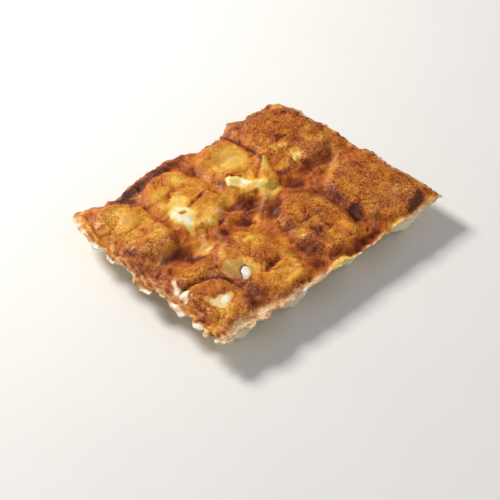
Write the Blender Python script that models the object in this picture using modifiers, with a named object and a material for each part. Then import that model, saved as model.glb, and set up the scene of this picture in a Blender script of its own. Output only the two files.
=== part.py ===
"""Eight jiaozi fried together and turned out with their browned crust up.

The jiaozi lie in two rows of four, flat side up, and rest on their pleated crests.
One thin crisp skirt of fried batter lies over all their flat sides and joins them.
It is raised over each jiaozi, sinks between them and hangs a little at its torn edge.
X runs along the rows and Y across them. The origin is under the middle, on the surface it rests on.
"""
import math

import bmesh
import bpy
from mathutils import Vector, noise

MM = 0.001

# Heights over the surface that the jiaozi rest on
CRUST_LEVEL = 20.0 * MM
WAIST_LEVEL = 10.5 * MM

# The crisp skirt, and the grid that it is made from
SKIRT_LENGTH = 170.0 * MM
SKIRT_DEPTH = 142.0 * MM
SKIRT_THICKNESS = 1.4 * MM
SKIRT_COLUMNS = 42
SKIRT_ROWS = 35
FITTING_ROUNDS = 6

# How far the crust sinks between the jiaozi and hangs at its edge, and how far inside and outside
# the rim of a flat side its shoulder starts and ends
SINK_BETWEEN = 2.6 * MM
SINK_MID_VALLEY = 2.2 * MM
MID_VALLEY_HALF_WIDTH = 8.0 * MM
EDGE_HANG = 2.0 * MM
EDGE_HANG_WIDTH = 10.0 * MM
SHOULDER_INSIDE = 3.2 * MM
SHOULDER_OUTSIDE = 4.2 * MM

# Unevenness of the crust: height and size of its waves, and which slice of the noise they take
WAVE_HEIGHT = 1.2 * MM
WAVE_SIZE = 13.0 * MM
WAVE_SLICE = 3.1
WRINKLE_HEIGHT = 0.6 * MM
WRINKLE_SIZE = 5.5 * MM
WRINKLE_SLICE = 8.7

# The torn edge: how far and how often it goes in and out, and how near the edge that starts
TATTER_DEPTH = 1.3 * MM
TATTER_SIZE = 5.0 * MM
TATTER_SLICES = (21.3, 35.9)
TATTER_SHARPNESS = 16

# One jiaozi: its flat side, the belly round it, the pleats and the crest it rests on.
# The crest bows to one side, swings back towards its ends and is pressed flat along its middle.
FLAT_ROUNDNESS = 2.6
BELLY_OUTSIDE_FLAT = 1.6 * MM
TOP_SQUARENESS = 0.58
TOP_FLATNESS = 1.7
END_ROUNDING = 0.22
SEGMENTS_ROUND = 20
RINGS_ALONG = 20
PLEATS = RINGS_ALONG // 2
PLEAT_DEPTH = 0.9 * MM
CREST_BOW = 5.0 * MM
CREST_SWING_BACK = 0.45
CREST_ROCKER = 0.9
END_WIDTH_BELOW = 0.4
REST_FLAT = 0.9 * MM
GAP = 0.6 * MM
EASE_UNDER_SLOPES = 1.1 * MM
EASE_UNDER_CREASES = 3.0 * MM

# The section of the lower half, from the waist down to the crest: degrees below the waist,
# share of the half width, share of the waist's height. Up to TINY degrees counts as the top.
TINY = 1e-6
LOWER_SECTION = (
    (0, 1.00, 1.00),
    (18, 0.98, 0.78),
    (36, 0.79, 0.55),
    (54, 0.38, 0.41),
    (72, 0.14, 0.04),
    (90, 0.00, 0.00),
)

# Each jiaozi: name, middle of its flat side, half width and half length of the flat side,
# turn in degrees and how far its flat side is over or under the common level
JIAOZI = (
    ("jiaozi_far_1", -57.7, 34.0, 13.3, 26.0, 4.0, 0.3),
    ("jiaozi_far_2", -23.1, 34.0, 16.5, 26.0, -2.0, 0.6),
    ("jiaozi_far_3", 17.0, 33.5, 16.6, 25.5, 2.0, 0.2),
    ("jiaozi_far_4", 57.4, 35.0, 19.2, 27.0, -3.0, -0.2),
    ("jiaozi_near_1", -59.2, -34.5, 13.0, 25.0, -2.0, 0.0),
    ("jiaozi_near_2", -25.5, -35.0, 16.3, 26.5, 2.0, 0.4),
    ("jiaozi_near_3", 19.6, -34.0, 15.2, 26.0, -3.0, 0.1),
    ("jiaozi_near_4", 60.5, -35.0, 19.0, 27.0, 2.0, -0.3),
)

# The torn outline, as the turning points that the eye picks out: place along the side, then across
FAR_EDGE = (
    (-83, 62), (-79, 67), (-75, 73), (-69, 70), (-58, 66.5), (-49, 65.5), (-38, 68.5), (-18, 70),
    (-4, 71), (4, 67), (12, 63.5), (30, 64), (36, 66), (42, 70.5), (48, 69), (54, 65.7),
    (72, 66), (78, 62.5), (86, 59),
)
NEAR_EDGE = (
    (-82, -60.5), (-78, -63), (-74, -65), (-64, -64.5), (-58, -66.5), (-48, -65.5), (-38, -66),
    (-18, -65.5), (2, -65.8), (32, -66.5), (62, -66), (86, -65.5),
)
LEFT_EDGE = (
    (-67, -78), (-61, -81), (-52, -80.5), (-42, -80), (-35, -79), (-29, -81), (-17, -79.5),
    (-9, -80.5), (-5, -83.5), (5, -84), (9, -80.5), (21, -80.5), (30, -82.5), (36, -79.5),
    (43, -82), (53, -80), (60, -78.5), (68, -76.5), (73, -74.5),
)
RIGHT_EDGE = (
    (-67, 85.5), (-43, 84.5), (-33, 83.2), (3, 83.7), (15, 83.2), (30, 82), (39, 79.7), (47, 80.8),
    (55, 78.6), (64, 77), (71, 74),
)

# Raised lips and sunk creases of the crust: name, start, end, half width and height, in millimetres
FOLDS = (
    ("level far left corner", (-74.0, 50.0), (-68.0, 64.0), 7.0, 2.4),
    ("lip of far_4", (38.8, 62.0), (36.8, 32.0), 2.8, 1.2),
    ("crease beside that lip", (33.8, 64.0), (33.2, 36.0), 3.0, -1.2),
    ("left arm of the V", (6.0, 27.0), (18.5, 9.5), 2.6, 1.1),
    ("right arm of the V", (18.5, 9.5), (34.0, 30.0), 2.4, 1.2),
    ("crease over the crescent", (-32.5, 38.5), (-21.0, 44.5), 2.6, -0.7),
    ("its right half", (-21.0, 44.5), (-11.5, 38.5), 2.6, -0.7),
    ("slit of near_2", (-28.0, -41.6), (-15.5, -39.5), 3.0, -1.2),
    ("middle crossing", (-7.0, 12.0), (6.0, 7.0), 5.0, -1.8),
    ("left crossing", (-60.0, 8.0), (-46.0, -1.0), 5.0, -1.5),
    ("ridge between far_2 and near_2", (-36.0, -2.0), (-15.0, 2.0), 4.0, 2.0),
    ("ridge left of the middle", (-16.0, 6.0), (-16.0, 15.0), 3.0, 1.2),
    ("ridge right of the middle", (4.0, -4.0), (13.0, 5.0), 3.0, 1.8),
    ("ridge between far_3 and near_3", (16.0, 4.0), (24.0, -3.0), 4.0, 1.6),
    ("right crossing", (50.0, 6.0), (77.0, 3.0), 5.0, -0.9),
    ("left column", (-45.0, -20.0), (-44.5, -50.0), 2.8, -1.2),
    ("groove across near_1", (-68.0, -20.5), (-50.0, -23.0), 2.4, -1.2),
    ("middle column", (-1.0, -36.0), (2.0, -58.0), 3.4, -1.4),
    ("right column", (38.0, -16.0), (39.0, -55.0), 3.0, -1.2),
    ("lump in the right column", (43.5, -45.0), (44.5, -51.0), 3.0, 1.6),
    ("dark front pocket", (15.0, -62.5), (38.0, -62.0), 3.0, -1.6),
    ("second front pocket", (-32.0, -62.5), (-8.0, -62.0), 2.6, -0.8),
    ("slope below far_2", (-31.0, 3.5), (-12.0, 4.5), 5.0, 1.8),
    ("slope over near_2", (-33.0, -6.5), (-16.0, -6.5), 4.5, 1.5),
    ("slope over near_3", (12.0, -5.5), (26.0, -5.0), 4.0, 1.0),
    ("slope below far_3", (14.0, 3.0), (28.0, 4.0), 4.5, 1.2),
)


def along(points, place):
    """Straight-line reading of an outline given as turning points, in metres."""
    place = place / MM
    if place <= points[0][0]:
        return points[0][1] * MM
    for (start, low), (end, high) in zip(points, points[1:]):
        if place <= end:
            return (low + (high - low) * (place - start) / (end - start)) * MM
    return points[-1][1] * MM


def ease(value):
    """Smooth step from 0 to 1."""
    value = min(max(value, 0.0), 1.0)
    return value * value * (3.0 - 2.0 * value)


def waves(x, y, size, noise_slice):
    """Fixed noise between about -1 and 1 with waves of the given size."""
    return noise.noise(Vector((x / size, y / size, noise_slice)))


def outside_flat(jiaozi, x, y):
    """Distance outward from the rim of a jiaozi's flat side, below 0 on the flat side."""
    _, mid_x, mid_y, half_width, half_length, turn, _ = jiaozi
    turn = math.radians(turn)
    right = x / MM - mid_x
    up = y / MM - mid_y
    across = abs(right * math.cos(turn) + up * math.sin(turn)) / half_width
    length = abs(up * math.cos(turn) - right * math.sin(turn)) / half_length
    radius = (across ** FLAT_ROUNDNESS + length ** FLAT_ROUNDNESS) ** (1.0 / FLAT_ROUNDNESS)
    return math.hypot(right, up) * (1.0 - 1.0 / max(radius, TINY)) * MM


def fold_height(fold, x, y):
    """Height that one lip or crease adds at a place."""
    _, (start_x, start_y), (end_x, end_y), half_width, height = fold
    run_x = end_x - start_x
    run_y = end_y - start_y
    share = ((x / MM - start_x) * run_x + (y / MM - start_y) * run_y) / (run_x ** 2 + run_y ** 2)
    share = min(max(share, 0.0), 1.0)
    away = math.hypot(x / MM - start_x - share * run_x, y / MM - start_y - share * run_y)
    return height * MM * math.exp(-((away / half_width) ** 2))


def edge_distance(x, y):
    """Least distance in from the torn outline, along X or Y."""
    return min(
        x - along(LEFT_EDGE, y),
        along(RIGHT_EDGE, y) - x,
        y - along(NEAR_EDGE, x),
        along(FAR_EDGE, x) - y,
    )


def folds_height(x, y):
    """Height that all lips and creases add at a place."""
    return sum(fold_height(fold, x, y) for fold in FOLDS)


def smooth_height(x, y):
    """Height of the crust's upper face without its lips and creases."""
    cover = 0.0
    lift = 0.0
    for jiaozi in JIAOZI:
        fallen = outside_flat(jiaozi, x, y) + SHOULDER_INSIDE
        held_up = 1.0 - ease(fallen / (SHOULDER_INSIDE + SHOULDER_OUTSIDE))
        cover = max(cover, held_up)
        lift += jiaozi[-1] * MM * held_up
    valley = math.exp(-((y / MID_VALLEY_HALF_WIDTH) ** 2))
    height = CRUST_LEVEL + lift - (1.0 - cover) * (SINK_BETWEEN + SINK_MID_VALLEY * valley)
    height += WAVE_HEIGHT * waves(x, y, WAVE_SIZE, WAVE_SLICE)
    height += WRINKLE_HEIGHT * waves(x, y, WRINKLE_SIZE, WRINKLE_SLICE)
    near_edge = 1.0 - min(max(edge_distance(x, y) / EDGE_HANG_WIDTH, 0.0), 1.0)
    return height - EDGE_HANG * near_edge ** 2


def crust_height(x, y):
    """Height of the crust's upper face over the surface that the jiaozi rest on."""
    return smooth_height(x, y) + folds_height(x, y)


def skirt_place(column, row):
    """Plan place of a point of the skirt's grid, fitted to the torn outline by a few rounds."""
    x = (column - 0.5) * SKIRT_LENGTH
    y = (row - 0.5) * SKIRT_DEPTH
    for _ in range(FITTING_ROUNDS):
        left = along(LEFT_EDGE, y)
        near = along(NEAR_EDGE, x)
        x_next = left + column * (along(RIGHT_EDGE, y) - left)
        y_next = near + row * (along(FAR_EDGE, x) - near)
        x = (x + x_next) / 2.0
        y = (y + y_next) / 2.0
    return x, y


def tatter(x, y, column, row):
    """Moves the outermost points in and out, so that the edge is torn."""
    outer = max(abs(2.0 * column - 1.0), abs(2.0 * row - 1.0)) ** TATTER_SHARPNESS
    moves = [TATTER_DEPTH * outer * waves(x, y, TATTER_SIZE, part) for part in TATTER_SLICES]
    return x + moves[0], y + moves[1]


def material(name, colour, roughness):
    """A food finish of one colour."""
    finish = bpy.data.materials.new(name)
    finish.use_nodes = True
    shader = finish.node_tree.nodes["Principled BSDF"]
    shader.inputs["Base Color"].default_value = (*colour, 1.0)
    shader.inputs["Roughness"].default_value = roughness
    shader.inputs["Metallic"].default_value = 0.0
    return finish


def add_object(name, mesh, collection, finish):
    """Puts a mesh in the collection as a smooth object with its own finish."""
    mesh.materials.append(finish)
    mesh.shade_smooth()
    made = bpy.data.objects.new(name, mesh)
    collection.objects.link(made)
    return made


def make_skirt(collection):
    """The crisp skirt: a thin shell over a grid that follows the crust's height."""
    shape = bmesh.new()
    bmesh.ops.create_grid(shape, x_segments=SKIRT_COLUMNS, y_segments=SKIRT_ROWS, size=0.5)
    for point in shape.verts:
        column = point.co.x + 0.5
        row = point.co.y + 0.5
        x, y = tatter(*skirt_place(column, row), column, row)
        point.co = (x, y, crust_height(x, y))
    mesh = bpy.data.meshes.new("crisp_skirt")
    shape.to_mesh(mesh)
    shape.free()
    skirt = add_object("crisp_skirt", mesh, collection, material("crisp_skirt", (0.55, 0.20, 0.05), 0.45))
    shell = skirt.modifiers.new("Thickness", "SOLIDIFY")
    shell.thickness = SKIRT_THICKNESS
    shell.offset = -1.0
    return skirt


def lowest_near(height, reach, x, y):
    """Least value of a height within a small square round a place."""
    steps = (-reach, 0.0, reach)
    return min(height(x + right, y + up) for right in steps for up in steps)


def ceiling(x, y):
    """Highest level that a jiaozi may reach, just under the skirt, its slopes and its creases."""
    level = lowest_near(smooth_height, EASE_UNDER_SLOPES, x, y)
    level += min(lowest_near(folds_height, EASE_UNDER_CREASES, x, y), 0.0)
    return level - SKIRT_THICKNESS - GAP


def lower_section(degrees):
    """Width and height shares of the lower half's section at an angle below the waist."""
    for (start, wide, high), (end, next_wide, next_high) in zip(LOWER_SECTION, LOWER_SECTION[1:]):
        if degrees <= end:
            share = (degrees - start) / (end - start)
            return wide + share * (next_wide - wide), high + share * (next_high - high)
    return LOWER_SECTION[-1][1:]


def jiaozi_point(jiaozi, direction):
    """Moves a point of a unit sphere, poles along Y, to the surface of one jiaozi."""
    _, mid_x, mid_y, half_width, half_length, turn, lift = jiaozi
    latitude = math.asin(min(max(direction.y, -1.0), 1.0))
    station = (latitude / (math.pi / 2.0) + direction.y) / 2.0
    width = (1.0 - min(abs(station), 1.0) ** FLAT_ROUNDNESS) ** (1.0 / FLAT_ROUNDNESS)
    half_width = half_width * MM + BELLY_OUTSIDE_FLAT
    half_length = half_length * MM + BELLY_OUTSIDE_FLAT
    angle = math.atan2(direction.z, direction.x)
    side = math.copysign(1.0, math.cos(angle))
    below = -math.degrees(math.asin(math.sin(angle)))
    if below <= TINY:
        across = half_width * width * side * abs(math.cos(angle)) ** TOP_SQUARENESS
        rise = abs(math.sin(angle)) ** TOP_SQUARENESS
        share = (1.0 - (1.0 - rise) ** TOP_FLATNESS) * width ** END_ROUNDING
    else:
        wide, high = lower_section(below)
        depth = 1.0 - high
        across = half_width * width ** (1.0 - END_WIDTH_BELOW * depth) * side * wide
        across += CREST_BOW * depth ** 2 * (CREST_SWING_BACK - station ** 2)
        pleat = math.cos(2.0 * math.pi * PLEATS * (latitude / math.pi + 0.5))
        folded = math.sin(math.pi * depth) * ease(2.0 - 2.0 * abs(station))
        if side > 0.0:
            across += PLEAT_DEPTH * pleat * folded
        share = -depth * width ** CREST_ROCKER
    turn = math.radians(turn)
    length = half_length * station
    x = mid_x * MM + across * math.cos(turn) - length * math.sin(turn)
    y = mid_y * MM + across * math.sin(turn) + length * math.cos(turn)
    if share >= 0.0:
        return Vector((x, y, WAIST_LEVEL + share * (ceiling(x, y) - WAIST_LEVEL)))
    height = WAIST_LEVEL + share * (WAIST_LEVEL + REST_FLAT)
    return Vector((x, y, max(height, 0.0)))


def make_jiaozi(jiaozi, collection):
    """One jiaozi, flat side up: a sphere drawn out along Y, squared above and pleated below."""
    name = jiaozi[0]
    shape = bmesh.new()
    bmesh.ops.create_uvsphere(shape, u_segments=SEGMENTS_ROUND, v_segments=RINGS_ALONG, radius=1.0)
    for point in shape.verts:
        around = Vector((point.co.x, point.co.z, -point.co.y))
        point.co = jiaozi_point(jiaozi, around)
    bmesh.ops.triangulate(shape, faces=shape.faces)
    bmesh.ops.recalc_face_normals(shape, faces=shape.faces)
    mesh = bpy.data.meshes.new(name)
    shape.to_mesh(mesh)
    shape.free()
    return add_object(name, mesh, collection, material(name, (0.80, 0.62, 0.38), 0.35))


def centre_on_floor(parts):
    """Moves every piece alike, so that the origin is under the middle of the whole."""
    bpy.context.view_layer.update()
    graph = bpy.context.evaluated_depsgraph_get()
    corners = [Vector(corner) for part in parts for corner in part.evaluated_get(graph).bound_box]
    low = Vector(min(corner[axis] for corner in corners) for axis in range(3))
    high = Vector(max(corner[axis] for corner in corners) for axis in range(3))
    for part in parts:
        part.location = (-(low.x + high.x) / 2.0, -(low.y + high.y) / 2.0, -low.z)


def main():
    for leftover in list(bpy.data.objects):
        bpy.data.objects.remove(leftover)
    collection = bpy.data.collections.new("jiaozi_with_crisp_skirt")
    bpy.context.scene.collection.children.link(collection)
    parts = [make_skirt(collection)]
    parts += [make_jiaozi(jiaozi, collection) for jiaozi in JIAOZI]
    centre_on_floor(parts)


main()
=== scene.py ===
# %% [markdown]
# # Jiaozi joined by a crisp skirt
#
# Eight jiaozi are fried side by side in a thin batter. The batter dries to one brown lacy sheet,
# and the whole slab is turned out with that sheet on top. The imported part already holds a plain
# solid for the sheet and one for each jiaozi. This lesson dresses them: it builds a finer mesh for
# each solid from the same formulas, then gives it the colours and the gloss of fried food.

import math
import random

import bmesh
import bpy
import numpy as np
from mathutils import Matrix, Vector, noise


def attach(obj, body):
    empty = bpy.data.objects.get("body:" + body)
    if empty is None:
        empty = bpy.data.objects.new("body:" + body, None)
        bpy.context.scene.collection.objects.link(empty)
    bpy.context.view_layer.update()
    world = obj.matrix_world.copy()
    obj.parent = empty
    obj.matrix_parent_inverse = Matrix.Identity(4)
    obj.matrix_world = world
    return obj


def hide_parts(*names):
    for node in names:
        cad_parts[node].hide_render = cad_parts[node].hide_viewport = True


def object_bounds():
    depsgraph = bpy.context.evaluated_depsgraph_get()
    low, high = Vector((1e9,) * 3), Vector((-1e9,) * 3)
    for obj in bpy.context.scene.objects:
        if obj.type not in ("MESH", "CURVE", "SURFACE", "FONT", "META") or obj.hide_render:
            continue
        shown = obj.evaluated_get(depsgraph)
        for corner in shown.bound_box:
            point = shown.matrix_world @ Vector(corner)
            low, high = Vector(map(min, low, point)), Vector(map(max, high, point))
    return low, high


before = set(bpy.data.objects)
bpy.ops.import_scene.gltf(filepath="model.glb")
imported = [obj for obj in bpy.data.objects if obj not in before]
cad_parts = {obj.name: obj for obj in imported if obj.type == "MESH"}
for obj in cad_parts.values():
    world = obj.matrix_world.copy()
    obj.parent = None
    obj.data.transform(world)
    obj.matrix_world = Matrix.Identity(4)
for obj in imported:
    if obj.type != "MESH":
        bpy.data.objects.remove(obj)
cad_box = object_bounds()
bpy.context.scene.view_settings.view_transform = "Standard"
print("nodes:", ", ".join(sorted(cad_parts)))

# %% [markdown]
# ## Where everything lies
#
# The meshes here must sit exactly where the plain solids are. They could be measured from the
# solids, but the solids are coarse. Their formulas are short, so the same numbers are used again
# here, in millimetres, and only the last step turns them into metres. Far is +Y, near is -Y.

# %% Repeat the part's main numbers
MM = 0.001
CRUST_LEVEL = 20.0
WAIST_LEVEL = 10.5
SKIRT_LENGTH = 170.0
SKIRT_DEPTH = 142.0
SKIRT_THICKNESS = 1.4
SINK_BETWEEN = 2.6
SINK_MID_VALLEY = 2.2
MID_VALLEY_HALF_WIDTH = 8.0
EDGE_HANG = 2.0
EDGE_HANG_WIDTH = 10.0
SHOULDER_INSIDE = 3.2
SHOULDER_OUTSIDE = 4.2
FLAT_ROUNDNESS = 2.6
WAVE_HEIGHT = 1.2
WRINKLE_HEIGHT = 0.6
CENTRING = np.array((-0.960, -2.554, 0.0))  # the part's source moves all of it by this to centre it

# Name, middle of the flat side, its half width and half length, turn in degrees, lift, browning
JIAOZI = (
    ("far_1", -57.7, 34, 13.3, 26, 4, 0.3, 0.33),
    ("far_2", -23.1, 34, 16.5, 26, -2, 0.6, 0.37),
    ("far_3", 17, 33.5, 16.6, 25.5, 2, 0.2, 0.38),
    ("far_4", 57.4, 35, 19.2, 27, -3, -0.2, 0.51),
    ("near_1", -59.2, -34.5, 13, 25, -2, 0, 0.46),
    ("near_2", -25.5, -35, 16.3, 26.5, 2, 0.4, 0.44),
    ("near_3", 19.6, -34, 15.2, 26, -3, 0.1, 0.44),
    ("near_4", 60.5, -35, 19, 27, 2, -0.3, 0.48),
)

# The torn outline as its turning points: place along the side, then across
FAR_EDGE = (
    (-83, 62), (-79, 67), (-75, 73), (-69, 70), (-58, 66.5), (-49, 65.5), (-38, 68.5), (-18, 70),
    (-4, 71), (4, 67), (12, 63.5), (30, 64), (36, 66), (42, 70.5), (48, 69), (54, 65.7),
    (72, 66), (78, 62.5), (86, 59),
)
NEAR_EDGE = (
    (-82, -60.5), (-78, -63), (-74, -65), (-64, -64.5), (-58, -66.5), (-48, -65.5), (-38, -66),
    (-18, -65.5), (2, -65.8), (32, -66.5), (62, -66), (86, -65.5),
)
LEFT_EDGE = (
    (-67, -78), (-61, -81), (-52, -80.5), (-42, -80), (-35, -79), (-29, -81), (-17, -79.5),
    (-9, -80.5), (-5, -83.5), (5, -84), (9, -80.5), (21, -80.5), (30, -82.5), (36, -79.5),
    (43, -82), (53, -80), (60, -78.5), (68, -76.5), (73, -74.5),
)
RIGHT_EDGE = (
    (-67, 85.5), (-43, 84.5), (-33, 83.2), (3, 83.7), (15, 83.2), (30, 82), (39, 79.7), (47, 80.8),
    (55, 78.6), (64, 77), (71, 74),
)

# The large lips and creases: name, start, end, half width and height
FOLDS = (
    ("level far left corner", (-74, 50), (-68, 64), 7, 2.4),
    ("lip of far_4", (38.8, 62), (36.8, 32), 2.8, 1.2),
    ("crease beside that lip", (33.8, 64), (33.2, 36), 3, -1.2),
    ("left arm of the V", (6, 27), (18.5, 9.5), 2.6, 1.1),
    ("right arm of the V", (18.5, 9.5), (34, 30), 2.4, 1.2),
    ("crease over the crescent", (-32.5, 38.5), (-21, 44.5), 2.6, -0.7),
    ("its right half", (-21, 44.5), (-11.5, 38.5), 2.6, -0.7),
    ("slit of near_2", (-28, -41.6), (-15.5, -39.5), 3, -1.2),
    ("middle crossing", (-7, 12), (6, 7), 5, -1.8),
    ("left crossing", (-60, 8), (-46, -1), 5, -1.5),
    ("ridge between far_2 and near_2", (-36, -2), (-15, 2), 4, 2),
    ("ridge left of the middle", (-16, 6), (-16, 15), 3, 1.2),
    ("ridge right of the middle", (4, -4), (13, 5), 3, 1.8),
    ("ridge between far_3 and near_3", (16, 4), (24, -3), 4, 1.6),
    ("right crossing", (50, 6), (77, 3), 5, -0.9),
    ("left column", (-45, -20), (-44.5, -50), 2.8, -1.2),
    ("groove across near_1", (-68, -20.5), (-50, -23), 2.4, -1.2),
    ("middle column", (-1, -36), (2, -58), 3.4, -1.4),
    ("right column", (38, -16), (39, -55), 3, -1.2),
    ("lump in the right column", (43.5, -45), (44.5, -51), 3, 1.6),
    ("dark front pocket", (15, -62.5), (38, -62), 3, -1.6),
    ("second front pocket", (-32, -62.5), (-8, -62), 2.6, -0.8),
    ("slope below far_2", (-31, 3.5), (-12, 4.5), 5, 1.8),
    ("slope over near_2", (-33, -6.5), (-16, -6.5), 4.5, 1.5),
    ("slope over near_3", (12, -5.5), (26, -5), 4, 1),
    ("slope below far_3", (14, 3), (28, 4), 4.5, 1.2),
)
print(len(JIAOZI), "jiaozi and", len(FOLDS), "large folds")

# %% [markdown]
# ## The height of the crust
#
# The crust is a thin sheet seen from above, so one height for each place in plan describes it. A
# sculpted or simulated sheet would do too, but a height made of a few simple terms can be read
# and changed: level flat sides, shoulders that fall into the valleys, slow waves, a hanging edge.
# All the functions take whole arrays, because numpy handles fifty thousand places at once.

# %% Helpers for shaping with arrays
def ease(value):
    """Smooth step from 0 to 1."""
    value = np.clip(value, 0.0, 1.0)
    return value * value * (3.0 - 2.0 * value)


def bell(value, width):
    """1 where the value is 0, fading out over the width on both sides."""
    return np.exp(-((value / width) ** 2))


def waves(x, y, size, part):
    """Fixed noise between about -1 and 1 with waves of the given size."""
    spots = zip((x / size).ravel(), (y / size).ravel())
    values = [noise.noise((across, up, part)) for across, up in spots]
    return np.array(values).reshape(np.shape(x))


def reading(points, place):
    """Straight-line reading of an outline given as turning points."""
    starts, values = zip(*points)
    return np.interp(place, starts, values)


def ellipse_radius(x, y, mid_x, mid_y, half_width, half_length, turn, roundness=2.0):
    """1 on the rim of a turned oval and 0 at its middle."""
    turn = math.radians(turn)
    right = x - mid_x
    up = y - mid_y
    across = np.abs(right * math.cos(turn) + up * math.sin(turn)) / half_width
    length = np.abs(up * math.cos(turn) - right * math.sin(turn)) / half_length
    return (across ** roundness + length ** roundness) ** (1.0 / roundness)


def line_distance(x, y, start, end):
    """Distance to a straight line from start to end."""
    run_x = end[0] - start[0]
    run_y = end[1] - start[1]
    share = ((x - start[0]) * run_x + (y - start[1]) * run_y) / (run_x ** 2 + run_y ** 2)
    share = np.clip(share, 0.0, 1.0)
    return np.hypot(x - start[0] - share * run_x, y - start[1] - share * run_y)


# %% The crust's height, as in the part
def outside_flat(jiaozi, x, y):
    """Distance outward from the rim of a jiaozi's flat side, below 0 on the flat side."""
    radius = ellipse_radius(x, y, *jiaozi[1:6], roundness=FLAT_ROUNDNESS)
    from_middle = np.hypot(x - jiaozi[1], y - jiaozi[2])
    return from_middle * (1.0 - 1.0 / np.maximum(radius, 1e-6))


def held_up(jiaozi, x, y):
    """1 on the flat side of a jiaozi, 0 in the valleys round it."""
    fallen = outside_flat(jiaozi, x, y) + SHOULDER_INSIDE
    return 1.0 - ease(fallen / (SHOULDER_INSIDE + SHOULDER_OUTSIDE))


def edge_distances(x, y):
    """How far in from the left, right, near and far edge."""
    return np.array((
        x - reading(LEFT_EDGE, y),
        reading(RIGHT_EDGE, y) - x,
        y - reading(NEAR_EDGE, x),
        reading(FAR_EDGE, x) - y,
    ))


def folds_height(x, y):
    """Height that the large lips and creases add."""
    return sum(
        height * bell(line_distance(x, y, start, end), half_width)
        for _, start, end, half_width, height in FOLDS
    )


def smooth_height(x, y):
    """Height of the crust's upper face without its lips and creases."""
    covers = np.array([held_up(jiaozi, x, y) for jiaozi in JIAOZI])
    lift = sum(jiaozi[6] * cover for jiaozi, cover in zip(JIAOZI, covers))
    valley = bell(y, MID_VALLEY_HALF_WIDTH)
    height = CRUST_LEVEL + lift - (1.0 - covers.max(0)) * (SINK_BETWEEN + SINK_MID_VALLEY * valley)
    height += WAVE_HEIGHT * waves(x, y, 13.0, 3.1) + WRINKLE_HEIGHT * waves(x, y, 5.5, 8.7)
    near_edge = 1.0 - np.clip(edge_distances(x, y).min(0) / EDGE_HANG_WIDTH, 0.0, 1.0)
    return height - EDGE_HANG * near_edge ** 2


middle_height = smooth_height(np.array([14.5]), np.array([34.5]))[0]
print(f"crust over the third jiaozi: {middle_height:.2f} mm")

# %% [markdown]
# ## A fine grid fitted to the torn outline
#
# A grid with cells of 0.7 mm can carry blisters, cracks and a ragged edge. It starts as a square
# grid and is fitted between the four torn edges by a few rounds, in which each point moves half
# way to the place that its share of the width and of the depth asks for. The outline then gets
# small tatters, and named tears push single tongues of crust out or notches in.

# %% Lay the grid into the outline
COLUMNS = 238
ROWS = 196
TATTER_SLICES = (21.3, 35.9)

# Tears: what it is, place, reach, then how far it is pushed along X and Y
TEARS = (
    ("froth at the far left", -81.5, 41.5, 3.2, -1, 0.6),
    ("notch under it", -79.5, 35.5, 2.2, 1.2, 0),
    ("froth over the pink patch", -82, 27.5, 3, -1, -0.8),
    ("tongue at the waist", -83.5, -3, 3, -0.6, -1.4),
    ("notch below the tongue", -81, -9.5, 2.2, 1.8, 0.8),
    ("frothy tongue", -81.2, -31.5, 2.8, -1.8, -0.6),
    ("notch below it", -79.6, -38, 2.2, 1.4, 0),
    ("white bubble", -80.4, -44.5, 3, -1.6, 0),
    ("notch", -80, -50, 1.6, 1.4, 0),
    ("curled tatter", -80.8, -53.2, 2, -2.6, 0.6),
    ("gap under the tatter", -80.8, -57.2, 1.8, 2.2, 0.6),
    ("arch of the near edge", -69.5, -65, 3.6, 0, 1.6),
    ("lobe of the near edge", -61.5, -66.4, 2.6, 0, -1.2),
    ("second arch", -55.5, -66.6, 2.2, 0, 1.8),
    ("orange lobe", -50, -66.2, 2.2, 0, -1.2),
    ("third arch", -44, -66.2, 2.6, 0, 1.4),
    ("small notch", -27, -66, 1.8, 0, 1),
    ("small lobe", -20, -66, 2.4, 0, -0.6),
    ("notch right of the middle", 15, -66.3, 3, 0, 1.2),
    ("long arch", 44, -66.4, 4, 0, 0.9),
    ("notch of the right edge", 82.6, 33, 2.4, -1.2, 0),
    ("second notch of the right edge", 80.2, 41, 2, -0.8, 0),
    ("white tooth", 80.8, 46.5, 1.6, 0.8, 0.6),
)


def skirt_place(column, row):
    """Plan place of points of the grid, fitted to the torn outline."""
    x = (column - 0.5) * SKIRT_LENGTH
    y = (row - 0.5) * SKIRT_DEPTH
    for _ in range(6):
        left = reading(LEFT_EDGE, y)
        near = reading(NEAR_EDGE, x)
        x_next = left + column * (reading(RIGHT_EDGE, y) - left)
        y_next = near + row * (reading(FAR_EDGE, x) - near)
        x = (x + x_next) / 2.0
        y = (y + y_next) / 2.0
    return x, y


def torn_place(column, row):
    """The grid's place with large and small tatters and the named tears."""
    x, y = skirt_place(column, row)
    rim = np.maximum(np.abs(2.0 * column - 1.0), np.abs(2.0 * row - 1.0))
    ragged = np.clip(0.45 + 2.6 * waves(x, y, 15.0, 51.0), 0.1, 1.5)
    moves = [
        rim ** 16 * (1.3 * waves(x, y, 10.0, part) + 0.9 * ragged * waves(x, y, 4.0, part))
        + 0.9 * rim ** 40 * ragged * waves(x, y, 1.9, part)
        for part in TATTER_SLICES
    ]
    x = x + moves[0]
    y = y + moves[1]
    for _, mid_x, mid_y, reach, push_x, push_y in TEARS:
        pull = bell(np.hypot(x - mid_x, y - mid_y), reach)
        x = x + push_x * pull
        y = y + push_y * pull
    return x, y


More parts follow.
